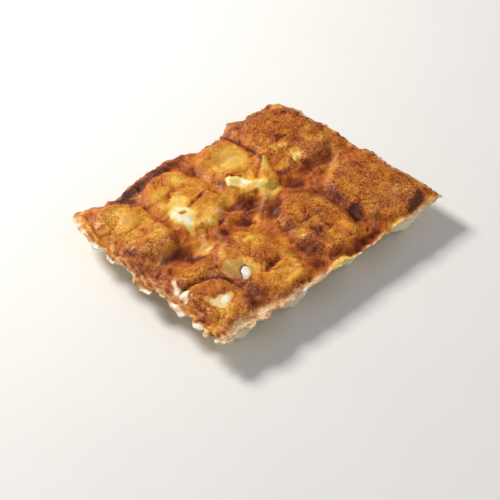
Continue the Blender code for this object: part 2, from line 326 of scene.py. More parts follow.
grid = bmesh.new()
bmesh.ops.create_grid(grid, x_segments=COLUMNS, y_segments=ROWS, size=0.5)
crust_mesh = bpy.data.meshes.new("crisp_skirt_fried")
grid.to_mesh(crust_mesh)
grid.free()
flat = np.empty(len(crust_mesh.vertices) * 3)
crust_mesh.vertices.foreach_get("co", flat)
flat = flat.reshape(-1, 3)
crust_x, crust_y = torn_place(flat[:, 0] + 0.5, flat[:, 1] + 0.5)
edges = edge_distances(crust_x, crust_y)
inward = edges.min(0)
print(len(crust_x), "points from", crust_x.min().round(1), "to", crust_x.max().round(1), "mm")

# %% [markdown]
# ## What frying did, place by place
#
# A fried crust is not one even noise. Where the batter stood on hot metal it is dark, where dough
# lay on it it is golden, and where a bubble lifted it, it is thin and pale. Each such place is
# one named oval or line with a soft rim. That is slower to write than a noise texture, but it is
# the only way to put the pale moon, the crack or the scorched corner where a cook would find them.
# A few of the ovals and lines paint light and shade instead: highlights on ridges, glints, and a shadow
# along the far border.

# %% Tools that paint with ovals and lines
LINE_UNREST = 0.6

# Layers of noise: amount, size of the waves, part of the noise
WOBBLE = ((0.24, 4.2, 61), (0.16, 1.6, 62))
BRUSH_ACROSS = ((1.6, 6.0, 63), (0.6, 2.3, 64))
BRUSH_ALONG = ((1.6, 6.0, 65), (0.6, 2.3, 66))


def crust_waves(size, part):
    """Fixed noise at the crust's points, with waves of the given size."""
    return waves(crust_x, crust_y, size, part)


def layered(layers):
    """Sum of layers of noise at the crust's points."""
    return sum(amount * crust_waves(size, part) for amount, size, part in layers)


wobble = layered(WOBBLE)
brush_x = layered(BRUSH_ACROSS)
brush_y = layered(BRUSH_ALONG)


def oval(mid_x, mid_y, half_width, half_length, turn=0.0, soft=0.8):
    """1 in a turned oval and 0 outside it, with a soft rim that is more ragged the larger it is."""
    unrest = min(1.0, min(half_width, half_length) / 4.0)
    x = crust_x + unrest * brush_x
    y = crust_y + unrest * brush_y
    radius = ellipse_radius(x, y, mid_x, mid_y, half_width, half_length, turn)
    return 1.0 - ease((radius + unrest * wobble - 1.0 + soft / 2.0) / soft)


def line(half_width, points):
    """1 along a line through the points, fading out over the half width."""
    x = crust_x + LINE_UNREST * brush_x
    y = crust_y + LINE_UNREST * brush_y
    away = np.min([line_distance(x, y, a, b) for a, b in zip(points, points[1:])], axis=0)
    return bell(away * (1.0 + wobble), half_width)


def painted(ovals, lines=()):
    """Sum of all the named ovals and lines of one kind, each times its amount."""
    total = np.zeros(len(crust_x))
    for _, amount, *shape in ovals:
        total += amount * oval(*shape)
    for _, amount, *shape in lines:
        total += amount * line(*shape)
    return total


# %% Places browned more or less than their surroundings, and some painted shade
# Ovals: what it is, amount, middle, half width and half length, turn in degrees, softness
# Lines: what it is, amount, half width, turning points
BROWN_AND_SHADE_OVALS = (
    ("left crossing of the valleys", 0.17, -53, 2.5, 8, 6, -15, 0.9),
    ("its far corner", 0.14, -47, 14.5, 3.5, 4.5, -20),
    ("its near right corner", 0.24, -47.5, -4.5, 3.8, 4.4, 40),
    ("shaded foot of the first jiaozi", 0.04, -68.6, 17.4, 2.2, 9, 25, 1),
    ("middle crossing", 0.27, -1.5, 9.6, 7.6, 4.4, -28, 0.9),
    ("hollow near the middle", 0.28, -8.6, -3.4, 6, 3.8, -28, 0.7),
    ("small purple pit", 0.3, -24, -2, 2.4, 3, 0, 0.7),
    ("brown hollow beside it", 0.22, -28, -10, 3, 4.5, 0, 0.9),
    ("long hollow at the right", 0.26, 33, 2.6, 7, 4, -14),
    ("purple hollow over it", 0.14, 35, 12.5, 4.5, 2.6, 10),
    ("right crossing", 0.1, 48, 7.5, 4.5, 3),
    ("right valley", -0.03, 62, 4, 12, 4.4, 3),
    ("right valley, near part", 0.1, 43, -14, 3.5, 9, 8, 0.9),
    ("near column, left", 0.07, -45.5, -34, 2.6, 14, 14),
    ("foot of the left column", 0.12, -45, -52, 7.5, 4.5, 5),
    ("near column, middle", 0.17, 2.6, -42.5, 5.5, 9, 0, 0.9),
    ("slope to its foot", 0.16, -5, -55, 8, 3.6, -55),
    ("near column, right", 0.16, 38.5, -26, 4.4, 17, 2, 0.9),
    ("lump in that column", -0.16, 43.5, -48, 3.2, 4.2, -25),
    ("dark front pocket", 0.27, 26, -62.4, 12.6, 3.6, 3, 0.5),
    ("second front pocket", 0.04, -17.5, -62.4, 12, 1.8, -4),
    ("scorched corner", 0.52, 69.4, -60, 8.8, 3.6, 27),
    # Partly the far border's own purple-brown, partly painted shadow along the sagging border.
    ("purple far border", 0.36, -25.6, 64, 24, 4, 3, 1),
    ("purple far gap", 0.3, -45.5, 58.5, 3, 6.8, 22),
    ("red-brown far gap", 0.06, -3.5, 56, 4.5, 10, 0, 0.9),
    ("brown side of that gap", -0.14, -4, 38, 3, 8, 0, 0.9),
    ("gap beside the fourth", 0.24, 33.4, 49, 2, 14, 3),
    ("far rim of the fourth", 0.06, 52, 63, 20, 3, 0, 0.9),
    ("orange top of the fifth", 0.13, -58.5, -32, 7, 6.5, -10, 0.7),
    ("left slope of the fifth", 0.06, -75.5, -37, 4, 7),
    ("freckle of the fourth", 0.22, 53, 37, 1.8, 2, 0, 0.6),
    ("pink-brown patch of the fourth", 0.1, 60, 26, 4, 3, -30),
    ("brown spot by the moon", 0.36, 8.4, 30, 2.2, 2.4, 20, 0.7),
    ("brown spot under the moon", 0.26, 10.8, 27.2, 3.2, 1.6, -20),
    ("brown dip left of the V", 0.22, 2.5, 26, 2, 4.5, 10),
    ("olive spot of the seventh", 0.3, 24, -28.6, 3, 1.4, 20, 0.7),
    ("brown shoulder of the seventh", 0.16, 4.5, -24, 5.5, 2.2, 8),
    ("brown flank of the seventh", 0.2, 12.5, -42, 3, 9),
    ("brown middle of the sixth", 0.04, -15, -31, 5, 5, 0, 0.9),
    ("red spot of the sixth", 0.2, -35, -7.5, 2.2, 2, 0, 0.7),
    ("golden first jiaozi", -0.1, -66, 48, 12, 13, 0, 0.9),
    ("golden right of the second", -0.06, -14, 19, 8, 8, 0, 0.9),
    ("light top of the second", -0.12, -15.5, 50, 3.6, 7.5, -12),
    ("yellow over the crescent", -0.22, -29, 34.5, 7.5, 5.5, -30, 0.7),
    ("golden disc of the third", -0.14, 18.5, 42.5, 13, 14, 0, 0.6),
    ("orange below the V", -0.24, 20, 5.6, 9, 4.4),
    ("yellow of the fourth", -0.38, 47.8, 29.4, 4.6, 3.6, 0, 0.9),
    ("second yellow of the fourth", -0.28, 49.6, 19.4, 3.8, 4, 0, 0.9),
    ("light streak of the fourth", -0.14, 65.5, 21, 7, 2.2, -60, 0.9),
    ("yellow edge of the fourth", -0.18, 44.5, 40.5, 3, 4.5, -40),
    ("gold left of the sixth", -0.08, -38, -9, 5, 6.5, 0, 0.9),
    ("gold ridge of the sixth", -0.14, -19, -18, 8, 3.2, 75),
    ("gold foot of the sixth", -0.1, -22, -50, 12, 9, 0, 0.7),
    ("gold beside the window", -0.22, -31.6, -34, 4, 9, 10),
    ("gold foot of the seventh", -0.08, 24, -50, 8.2, 8.5, 0, 0.7),
    ("yellow band of the seventh", -0.1, 18.5, -34.5, 1.6, 4.6, -8, 0.7),
    ("yellow patch beside it", -0.26, 5.8, -34, 2.6, 3.6),
    ("orange top of the seventh", 0.02, 14, -16.5, 10, 4, 8),
    ("light foot of the fifth", -0.26, -69, -51, 9, 4.5, 15),
    ("yellow side of the fifth", -0.16, -66, -12.5, 1.8, 4, 0, 0.7),
    ("yellow front edge", -0.42, 6, -64.5, 9, 2.8, 0, 0.7),
    ("yellow right front edge", -0.2, 50, -64.5, 5, 2.4),
    ("yellow far corner", -0.12, -75.5, 64, 3, 5, -15, 0.7),
    ("yellow below the crescent", -0.08, -29.5, 10.5, 8, 3.6, 0, 0.9),
    ("olive ridge in the valley", -0.22, -39.5, -1.5, 5.6, 5.6, 0, 0.9),
    ("light far corner of the fourth", -0.22, 73, 60, 4, 4),
    ("light front band", -0.38, -60, -62, 22, 3.6, 2, 0.7),
    ("light front band, middle", -0.24, -22, -64.6, 18, 2.4, 0, 0.7),
    ("light front band, right", -0.16, 62, -65, 20, 1.8, 0, 0.7),
    ("pink left slope", 0.1, -75, 17, 4.5, 9, 10, 0.9),
    ("brown neck between the first two", 0.05, -42.5, 32, 1.8, 14, 2),
    ("brown far top of the second", 0.1, -27, 56, 12, 5),
    ("brown middle of the seventh", 0.1, 20, -33, 9, 7),
    ("gold top of the fifth", -0.08, -57, -13, 8, 5),
    ("low side of the first", 0.02, -56, 13.5, 11, 3.2),
    ("pinhole of the crescent", 0.6, -31.1, 24.6, 2.1, 1.8, 0, 0.6),
    ("lighter low side of the eighth", -0.08, 70, -47, 7, 6, 0, 0.9),
    ("gold near side of the second", -0.08, -20, 10, 9, 4, 8, 0.9),
    ("gold far side of the sixth", -0.02, -25, -10.5, 9, 3.4, 0, 0.9),
    ("gold far side of the seventh", -0.02, 19, -10, 8, 3, 0, 0.9),
    ("second bead of the crack", 0.16, -14.6, 28, 1.6, 1.2),
    ("red-brown end of the crossing", 0.16, 6.4, 6.2, 3.6, 2.8, -30),
    ("brown hollow right of the middle", 0.24, 9.6, -7.6, 9, 3.2, 40),
    ("mauve fold through the middle", -0.07, -4.2, 4.2, 7.2, 2.4, -36, 1),
    ("gold under the right arm", -0.16, 25, 16.6, 5.6, 8, -35, 0.9),
    ("dark foot of that column", 0.34, 39.6, -42.6, 5.2, 6.2, -25, 0.7),
    ("gold round the crescent", -0.12, -33, 21, 8, 11, -4, 0.9),
    ("gold far left of the second", -0.08, -30, 40, 8, 9, 0, 0.9),
    ("gold foot of the second", -0.24, -28, 6.8, 7.4, 3.2, 4, 0.9),
    ("gold below the second gap", -0.24, -3.5, 18.5, 6, 4.5, 0, 0.9),
    ("golden wedge by the middle", -0.36, -4.4, -6.2, 6, 2.4, 40),
    ("brown foot of the middle column", 0.14, 9, -57.5, 5, 3, 20, 0.9),
    ("golden slope under the left arm", -0.28, 8, 15, 5, 4.4, 30, 0.9),
    ("gold right of the V", -0.2, 38, 17, 6, 3, 0, 0.9),
    ("gold by the right side", -0.2, 73.5, 15, 4, 8, 0, 0.9),
    ("gold low part of the fourth", -0.18, 50, 14.4, 4, 3.4, 0, 0.9),
    ("gold above the left pocket", -0.12, -60, -18, 5, 4, 0, 0.9),
    ("gold foot of the middle valley", -0.12, -5, -33, 3.4, 4, 0, 0.9),
    ("gold at the foot of the V", -0.16, 17.4, 4, 6.4, 3, 20, 0.9),
    ("gold far side by the middle", -0.1, -13, -20.5, 4, 3, 30, 0.9),
    ("gold beside the middle valley", -0.1, -6, -34, 3.4, 6, 0, 0.9),
    ("gold foot by the pocket", -0.14, -19, -56.5, 7, 3, 0, 0.9),
    ("gold left side of the fourth", -0.16, 41.5, 31, 3, 5),
    ("brown far right of the seventh", 0.12, 33.5, -11, 3.6, 4.4, 0, 0.9),
    ("gold right rim of the first", -0.14, -46.5, 46, 2.6, 6, 10, 0.9),
)
BROWN_LINES = (
    ("crack of the second jiaozi", 0.28, 0.75,
     ((-28.6, 27.3), (-25.4, 26.5), (-22.6, 27.6), (-19.4, 27), (-16.6, 28.8), (-11.4, 29.6))),
    ("arc over the crescent", 0.18, 1.5, ((-33, 37.5), (-27, 42), (-21, 44.6), (-13, 40.5))),
    ("groove between the disc and the V", 0.3, 1.3, ((35, 31.5), (27, 24.5), (19, 18.5))),
    ("line across the fourth", 0.28, 0.8, ((51.5, 35.2), (60, 34.2), (69.5, 33.2))),
    ("slit of the sixth", 0.42, 1.9, ((-27, -41.6), (-22, -40.2), (-16.5, -39.6))),
    ("groove over the fifth", 0.44, 1.6, ((-67, -20.6), (-57, -21.8), (-50, -28), (-46.5, -34))),
    ("groove left of the fifth", 0.34, 0.8, ((-79, -42.5), (-74, -43.3))),
    ("line over the seventh's spot", 0.28, 0.9, ((11.5, -27.5), (17.5, -27.8))),
    ("edge of the scorch", -0.1, 0.9, ((58, -62), (63, -57), (72, -56))),
    ("gold lip of the fourth", -0.13, 2, ((39, 60), (36.6, 46), (36.8, 33))),
    ("tan band of the eighth", -0.22, 2.2, ((49.4, -11), (56, -6), (64.4, 0.6))),
)
browning_and_shade_marks = painted(BROWN_AND_SHADE_OVALS, BROWN_LINES)
print("browning marks from", browning_and_shade_marks.min().round(2), "to", browning_and_shade_marks.max().round(2))

# %% Pale places, where dough or dry froth shows, and a few painted highlights
PALE_OVALS = (
    ("crescent", 0.78, -31.9, 22.6, 6, 7.8, 4, 0.9),
    ("foot of the crescent", 0.5, -35, 14.6, 2.5, 5.6, -12),
    ("left rim of the crescent", 0.26, -36.8, 25.5, 2, 6.5, -5, 0.9),
    ("upper part of the crescent", 0.34, -31, 32.4, 6, 5, -30, 0.9),
    ("moon of the third jiaozi", 0.42, 18, 37.6, 8.2, 5.2, -16, 0.7),
    ("upper half of the moon", 0.16, 19, 46, 8, 7, -20, 0.9),
    ("left arm of the V", 0.7, 8.8, 22.8, 3.8, 7.4, 30, 0.7),
    ("knee of the V", 0.4, 13.6, 16.4, 4.4, 5.2, 40, 0.9),
    ("foot of the V", 0.5, 17.6, 10.8, 4.8, 4.6, 10),
    ("right arm of the V", 0.36, 30.6, 23.8, 1.6, 7.4, -44),
    ("pale ridge left of the V", 0.24, 1.6, 21, 1.4, 4.8, 14, 1.1),
    ("soft spot of the fifth", 0.6, -61.8, -42.4, 4.9, 4.8, 10),
    ("its right lobe", 0.46, -56.8, -42.2, 4.2, 2.4, 15),
    ("its far tip", 0.34, -65.2, -36.6, 1.9, 3.6, 10, 0.9),
    ("pink-white streak", 0.34, -75.6, 33.4, 1.6, 4.4, -35, 1.1),
    ("froth at the far left", 1, -82, 41.5, 2.6, 4.4, 15, 0.5),
    ("froth over the pink patch", 1, -83, 27.5, 1.8, 4.6, 0, 0.5),
    ("tongue at the waist", 0.4, -83.5, -2, 2.6, 7, 0, 0.9),
    ("froth below it", 0.75, -81, -14.5, 1.8, 3.6, 10, 0.6),
    ("froth of the long edge", 0.6, -79.4, -26, 1.4, 6.5, 0, 0.7),
    ("frothy tongue", 1, -82, -31.5, 2.2, 4.2, 20, 0.5),
    ("white bubble", 1.1, -81.8, -44.5, 2, 4.6, 10, 0.5),
    ("curled tatter", 0.55, -82.4, -53, 1.8, 1.8),
    ("near left corner", 0.45, -80.5, -62, 2.6, 3.4, 30),
    ("far left corner", 0.6, -78, 65.5, 1.3, 3.6, -25, 0.7),
    ("faint moon of the first", 0.22, -56.8, 41.6, 5.6, 4.8, 20, 0.5),
    # A painted highlight on the near lip of the ring dent of the first jiaozi.
    ("bright ring of the first", 0.3, -55.8, 33.4, 1.9, 0.9, 0, 0.9),
    ("faint streak of the first", 0.14, -57, 26, 4.5, 2.6, 20, 0.9),
    ("white fleck of the fourth", 0.58, 46, 15.4, 1, 2, -22, 0.7),
    ("pink fleck below it", 0.25, 46.2, 11.6, 1, 2.2, 0, 1),
    ("white tooth of the right edge", 0.6, 78.6, 41.6, 0.8, 3, 12, 0.9),
    ("pale bit below it", 0.4, 77.6, 34.6, 0.8, 2.4, 8, 0.9),
    ("crumbly middle of the seventh", 0.12, 22.4, -38.6, 2.4, 3.2, 0, 0.9),
    ("specks in the middle column", 0.12, 6.4, -41, 1.8, 3.6, 0, 0.9),
    ("froth in the valley", 0.4, -38.4, -4.6, 1.6, 1.4),
    ("pale fold of the sixth", 0.28, -37, -15.5, 2, 4.6, -35),
    ("pale ridge of the sixth", 0.28, -19.4, -17.4, 3.6, 1.6, 0, 1.1),
    ("grey streak of the sixth", 0.12, -21.2, -27.6, 1.4, 3.4, -35, 1.2),
    ("pale lip of the slit", 0.2, -20.4, -43.6, 4.2, 0.9, 8),
    # Painted highlights: the pinkish-white sheen on the tops of three ridges.
    ("pink-white ridge at the left", 0.22, -63.6, 6.2, 5, 2.4, 30, 1.2),
    ("pink-white ridge at the middle", 0.24, -15.6, 11, 2, 3.4, 0, 1.2),
    ("pink-white ridge between", 0.2, 6.9, 0.6, 1.9, 3.4, -48, 1.2),
    ("streak at the column's foot", 0.12, -42.6, -48.6, 1.4, 3.6, 20, 1.2),
    ("streak over the right pocket", 0.18, 40.8, -54.6, 1, 4, -52, 1.2),
    # A painted glint in the right column.
    ("fleck in the right column", 0.14, 39, -43.6, 1.4, 0.6, 15),
    ("white bit of the near edge", 0.9, 30, -66.6, 1.8, 1.2, 0, 0.6),
    ("pale bubble of the far border", 0.24, -46, 65.4, 2.6, 2.2, 0, 0.6),
    ("pinhole of the crescent", -0.6, -31.1, 24.6, 2.2, 1.9, 0, 0.6),
    ("film over the window", 0.42, -38.8, -29.6, 5.6, 9, 22, 0.6),
)
PALE_LINES = (
    ("lip of the crack", 0.22, 0.6, ((-22, 29.6), (-11.5, 31.2))),
    ("glint on the far border", 0.16, 0.5, ((-37.2, 58), (-36.2, 63))),
    # A painted glint on the window's left rim.
    ("bright rim of the window", 0.45, 0.45, ((-46.4, -21.8), (-45.6, -19.4))),
    ("crisp froth in the valley", 0.42, 0.5, ((-42.6, -5.6), (-40.4, -7), (-38.6, -4.8), (-36.6, -5.2))),
    ("second line of that froth", 0.34, 0.45, ((-39.6, -2.6), (-36.8, -3.6))),
    ("right arm of the V", 0.26, 1.2, ((25.4, 17), (34.6, 28.4))),
    ("rim of the first moon", 0.22, 0.7, ((-62.4, 43.2), (-59.6, 46.6), (-55.6, 47.4), (-52, 45.4))),
    ("upper white blob", 0.72, 1.5, ((-68.9, -11.6), (-70.4, -15), (-72.6, -18.8))),
    ("broad end of that blob", 0.5, 1.4, ((-70.2, -18.9), (-73.2, -18.2))),
    ("lower white blob", 0.85, 1.6, ((-69.2, -23.2), (-73.4, -22.8))),
    ("foot of the lower white blob", 0.7, 1.5, ((-71, -24.6), (-73.9, -27.8))),
    ("torn end of the left arm", 0.6, 0.9, ((3.6, 25.6), (5.4, 28.6), (8.2, 29.8))),
    ("tooth of the left arm", 0.34, 1, ((11, 21.6), (14.4, 25.6))),
    ("second tooth of the left arm", 0.26, 0.9, ((8, 17), (5.6, 19.6))),
    ("yellow streak of the sixth", 0.2, 0.9, ((-22.6, -17.6), (-19.4, -16.4), (-16.4, -17.6))),
)
FROTH_WIDTH = 1.2
STREAKS_INWARD = 8.0

near_edge_froth = bell(edges[2], FROTH_WIDTH) * (0.25 + 2.2 * crust_waves(3.4, 71))
side_froth = bell(edges[:2].min(0), FROTH_WIDTH) * (0.15 + 2.4 * crust_waves(4.4, 72))
left_streaks = waves(crust_x, crust_y / 3.0, 2.4, 87) * bell(edges[0], STREAKS_INWARD) - 0.10
froth = sum(np.maximum(part, 0.0) for part in (near_edge_froth, side_froth, left_streaks))
pale = np.clip(painted(PALE_OVALS, PALE_LINES) + froth, 0.0, 1.0)
print(f"pale on {100 * (pale > 0.3).mean():.1f}% of the crust")

# %% Dry floury places and grey ones, with the pink of some painted highlights and of a painted shadow
DRY_AND_PAINTED_LIGHT_OVALS = (
    ("left band", 0.5, -77.5, 10, 8, 22, 0, 0.7),
    ("left band, near part", 0.35, -77.5, -14, 6, 14, 0, 0.7),
    ("front band", 0.85, -57, -61.5, 26, 5.4, 0, 0.5),
    ("front band, middle", 0.6, -18, -64, 18, 3.2, 0, 0.6),
    # Partly the far border's floury colour, partly the tint of its painted shadow.
    ("far border", 0.36, -26, 65.6, 26, 5, 3, 0.7),
    ("far gap", 0.6, -45.5, 57, 3.6, 9, 22, 0.7),
    ("gap beside the fourth", 0.2, 33.4, 48, 2.2, 14, 3, 0.7),
    ("far rim of the fourth", 0.6, 50, 63, 16, 4),
    ("right valley", 0.5, 62, 4, 13, 5.5, 3, 0.7),
    ("hollow at the right", 0.6, 35, 12, 5.5, 3.4),
    ("hollow by the seventh", 0.45, 30, -3.5, 7, 3),
    ("left column", 0.6, -45.5, -36, 4.5, 19, 12, 0.7),
    ("groove over the fifth", 0.5, -52, -25, 3, 6, 45),
    ("middle column", 0.4, 1, -45, 6.5, 12, 0, 0.7),
    ("right column", 0.2, 38.5, -26, 4.5, 22, 0, 0.7),
    ("valley left of the middle", 0.4, -29, -7, 4, 7),
    # The pink of the painted highlights on the same three ridges.
    ("ridge at the middle", 0.5, -15.6, 10, 3.4, 5, 0, 0.9),
    ("ridge between the hollows", 0.5, 8.2, 0.6, 3, 7, -48, 0.9),
    ("ridge at the left", 0.6, -63, 6, 6, 3, 30),
    ("foot of the first", 0.35, -62, 15, 10, 4, 0, 0.9),
    ("pink patch of the fourth", 0.45, 60, 26, 5, 4, -30, 0.9),
    ("near side of the fourth", 0.35, 58, 14, 14, 5, 0, 0.9),
    ("top of the eighth", 0.25, 60, -10, 12, 7, 0, 0.9),
    ("scorched corner", 0.9, 69.4, -60, 9.4, 4.4, 27, 0.6),
    ("low side of the eighth", 0.3, 62, -48, 16, 8, 0, 0.9),
    ("yellow front edge", -0.9, 6, -65, 9, 3.4, 0, 0.7),
    ("mauve fold through the middle", 0.6, -4, 4.4, 8, 3, -36, 1),
    ("white blobs at the left", 0.6, -71, -20, 4.6, 10, -20, 0.6),
    ("soft spot of the fifth", 0.26, -60.5, -41, 7, 6, 10, 0.9),
    ("lumps of the right column", 0.5, 39, -24, 3.4, 10, 8, 0.9),
    ("streak over the right pocket", 0.9, 40.8, -54.6, 1.6, 5, -52, 0.9),
    ("foot of the left column", 0.6, -46.5, -52.5, 7, 4, 5),
    ("left crossing", 0.5, -54.5, 4, 9, 6, -15),
)
GREY_OVALS = (
    ("olive half of the moon", 0.56, 16.8, 45.4, 7.6, 4.6, -16),
    ("olive moon of the first", 0.34, -56.8, 41.6, 5.6, 4.8, 20, 0.6),
    ("olive spot of the seventh", 0.26, 24, -28.6, 3, 1.6, 20, 1.1),
    ("pinhole of the crescent", 0.8, -31.1, 24.6, 2.1, 1.8, 0, 0.6),
    ("first bead of the crack", 0.24, -21.6, 27.2, 1.3, 0.8, 0, 0.9),
    ("second bead of the crack", 0.3, -14.6, 28.2, 1.2, 0.9, 0, 0.9),
    ("scorched corner", 0.1, 69.4, -60, 8.8, 3.6, 27, 0.9),
    ("olive ridge in the valley", 0.34, -39.5, -2, 5.2, 5.4, 0, 0.9),
    ("whole disc of the third", 0.14, 18.6, 42, 9, 12, 0, 1),
    ("film over the window", 0.95, -38.8, -29.6, 5.6, 9, 22, 0.6),
)
EDGE_DRYNESS = 0.8
DRY_EDGE_WIDTH = 2.2

dry = np.clip(painted(DRY_AND_PAINTED_LIGHT_OVALS) + EDGE_DRYNESS * bell(inward, DRY_EDGE_WIDTH), 0.0, 1.0)
grey = np.clip(painted(GREY_OVALS), 0.0, 1.0)
print(f"dry on {100 * (dry > 0.3).mean():.1f}%, grey on {100 * (grey > 0.3).mean():.1f}%")

# %% [markdown]
# ## Blisters, crinkles and cracks
#
# Steam lifts small domes in the batter and fat wrinkles it. Blisters wider than about two cells
# are real relief here, because they cast shadows and catch the light at their far side. Anything
# finer is left to the bump map. Pale dough is smooth, so the relief fades out there.

# %% Relief of the crust
SMALL_FOLDS = (
    ("crack of the second jiaozi", -0.35, 0.8,
     ((-25.4, 26.5), (-22.6, 27.6), (-19.4, 27), (-16.6, 28.8), (-11.4, 29.6))),
    ("lip of the crack", 0.55, 0.9, ((-23.5, 29.4), (-12, 30.4))),
    ("arc over the crescent", -0.3, 1.2, ((-33, 37.6), (-21, 44.6), (-13, 40.6))),
    ("slit of the sixth", -0.6, 1.5, ((-27, -41.4), (-16.5, -39.4))),
    ("lower lip of the slit", 0.7, 1.6, ((-25.5, -44.4), (-17, -43.4))),
    ("groove over the fifth", -0.8, 1.2, ((-67, -20.6), (-57, -21.8), (-50, -28), (-46.5, -34))),
    ("groove between the disc and the V", -0.6, 1.1, ((35, 31.8), (19, 18.2))),
    ("line across the fourth", -0.5, 0.9, ((51.5, 35.2), (69.5, 33.2))),
    ("lip below that line", 0.35, 1, ((52, 33.4), (68, 31.6))),
    ("left band, first stripe", 0.4, 0.9, ((-76.5, -10), (-77, 12))),
    ("left band, second stripe", 0.4, 0.8, ((-73, -8), (-73.8, 8))),
    ("left band, third stripe", 0.6, 0.8, ((-70.6, -12), (-69.2, 4))),
    ("pink-white streak", 0.7, 1, ((-77.5, 30), (-73.6, 36.5))),
    ("ridge at the left crossing", 0.9, 1.3, ((-67, 4.4), (-60.6, 7.8))),
    ("ridge at the middle", 0.7, 1.5, ((-15.4, 7), (-16.2, 14))),
    ("ridge between the hollows", 0.7, 1.8, ((4.6, -2.4), (11.6, 4.2))),
    ("ridge right of the middle", 0.7, 2, ((22, -5.4), (33, -3))),
    ("ridge in the right crossing", 0.8, 1.6, ((44.5, -6), (47.5, 4))),
    ("ridge on the way to the eighth", 0.6, 2, ((50, -12), (60, -3))),
    ("far glint", 0.9, 0.9, ((-37.6, 56), (-35.6, 65))),
    ("streak over the right pocket", 0.5, 0.9, ((36.8, -57.6), (40.4, -54.2), (44.6, -52.6))),
    ("streak at the column's foot", 0.8, 1.1, ((-41.6, -51.4), (-43.8, -45.6))),
    ("left lip of the window", 0.6, 0.9, ((-46.6, -24), (-44.8, -18.4))),
    ("right lip of the V", 0.4, 1, ((36, 31), (25, 19.6))),
    ("far rim of the first's disc", -0.35, 1.1,
     ((-70.5, 33), (-66, 43.5), (-57, 47.8), (-48, 43.5), (-43.8, 33))),
    ("near rim of the third's disc", -0.4, 1.1,
     ((4, 36), (8.5, 29.5), (18, 26.8), (28, 29.5), (33.6, 37))),
    ("fold through the middle", 0.7, 2, ((-9.5, 8.2), (3, 0.4))),
    ("cut between the white blobs", -0.5, 0.7, ((-74, -21), (-67.5, -20.8))),
)
SMALL_DENTS = (
    ("pinhole of the crescent", -0.9, -31.1, 24.6, 2, 1.8),
    ("first bead of the crack", -0.5, -21.6, 27.2, 1.6, 1),
    ("second bead of the crack", -0.5, -14.6, 28.2, 1.4, 1.1),
    ("moon of the third", -0.7, 18.2, 41.5, 10, 11.5, 0, 1.2),
    ("soft spot of the fifth", -0.6, -61.5, -40.5, 7, 6, 0, 1.2),
    ("faint moon of the first", 0.35, -56.1, 43.2, 5.4, 5, 20, 1),
    ("ring of the first", -0.5, -55.2, 35, 1.8, 1.8),
    ("crescent", 0.45, -33, 21.5, 7, 8.5, 0, 1.2),
    ("left arm of the V", -0.35, 9.2, 23.6, 3.6, 7.8, 26, 1),
    ("upper white blob", -0.35, -70.4, -16.2, 2.8, 6.2, -22, 1),
    ("lower white blob", -0.3, -71.8, -25, 3.2, 4, -18, 1),
    ("lump in the right column", 0.7, 43.5, -48, 3.2, 4, -25, 1.2),
    ("dark front pocket", -0.7, 25.5, -62.4, 11, 2.6, 2, 1.2),
    ("near side of the second", -0.7, -14, 14, 6, 5, 0, 1.2),
    ("far lump of the right column", 0.9, 38.4, -20, 3.2, 4.4, 20, 1.2),
    ("second lump there", 0.8, 40.6, -30.5, 2.8, 3.6, -25, 1.2),
    ("film over the window", 0.4, -38.8, -29.6, 6, 9.4, 22, 1),
)
SMOOTH_OVALS = (
    ("middle of the first", 0.7, -56, 38, 8, 13, -8, 0.9),
    ("disc of the third", 0.6, 18, 42, 9, 11, 0, 0.9),
    ("top of the fifth", 0.85, -58, -29.5, 6, 7, 0, 0.7),
    ("near part of the fifth", 0.75, -55, -46.5, 5.5, 4.5, 0, 0.7),
    ("near part of the seventh", 0.65, 22.5, -46.5, 7.5, 5.5),
    ("far part of the seventh", 0.6, 22, -16, 5, 4),
    ("foot of the left column", 0.8, -46, -52.5, 7, 4),
    ("dark front pocket", 0.8, 26, -62, 12, 4, 3),
    ("left crossing", 0.9, -54, 5, 10, 7, -15),
)
CRUMBLINESS = (1.0, 0.35, 0.5, 0.9, 1.0, 0.6, 1.0, 1.0)  # of each jiaozi's flat side
VALLEY_CRUMBLINESS = 0.15
CRINKLE_HEIGHT = 0.13
LUMP_HEIGHT = 0.32
STREAK_HEIGHT = 0.8
THIN_LINE_DEPTH = 0.45
THIN_LINE_WIDTH = 0.045
WRINKLE_WIDTH = 0.16
WRINKLES_ON_TOP = 0.20
MORE_IN_VALLEYS = 0.42
RAISED_BORDER = 1.1
LESS_AT_THE_FAR_EDGE = 0.7

cover = np.array([held_up(jiaozi, crust_x, crust_y) for jiaozi in JIAOZI])
share = cover / np.maximum(cover.sum(0), 1e-6)
valley = 1.0 - cover.max(0)


def by_jiaozi(values):
    """One value for each jiaozi, spread over the crust by which of them lies below."""
    return (share * np.array(values)[:, None]).sum(0)


rough = 1.0 - 0.85 * np.clip(1.3 * pale + grey, 0.0, 1.0)
crumbly = by_jiaozi(CRUMBLINESS)
crumbly = crumbly + (VALLEY_CRUMBLINESS - crumbly) * valley + 0.4 * bell(edges[1], 12.0)
grain = np.clip(rough * crumbly + 0.5 * dry, 0.0, 1.0) * (1.0 - np.clip(painted(SMOOTH_OVALS), 0.0, 1.0))
relief = painted(SMALL_DENTS, SMALL_FOLDS)
crinkles = 1.0 - 2.0 * np.abs(crust_waves(4.4, 5) + 0.4 * crust_waves(1.8, 6))
relief += CRINKLE_HEIGHT * rough * crinkles + LUMP_HEIGHT * grain * crust_waves(2.1, 7)
wrinkle_x = crust_x + 4.0 * crust_waves(9.0, 81)
wrinkle_y = crust_y + 4.0 * crust_waves(9.0, 82)
wrinkles = bell(waves(wrinkle_x, wrinkle_y, 9.0, 83), WRINKLE_WIDTH)
relief += (WRINKLES_ON_TOP + MORE_IN_VALLEYS * valley) * rough * wrinkles
thin_lines = bell(waves(wrinkle_x, wrinkle_y, 7.0, 84), THIN_LINE_WIDTH)
thin_lines *= ease(0.5 + 2.2 * crust_waves(11.0, 85)) * rough
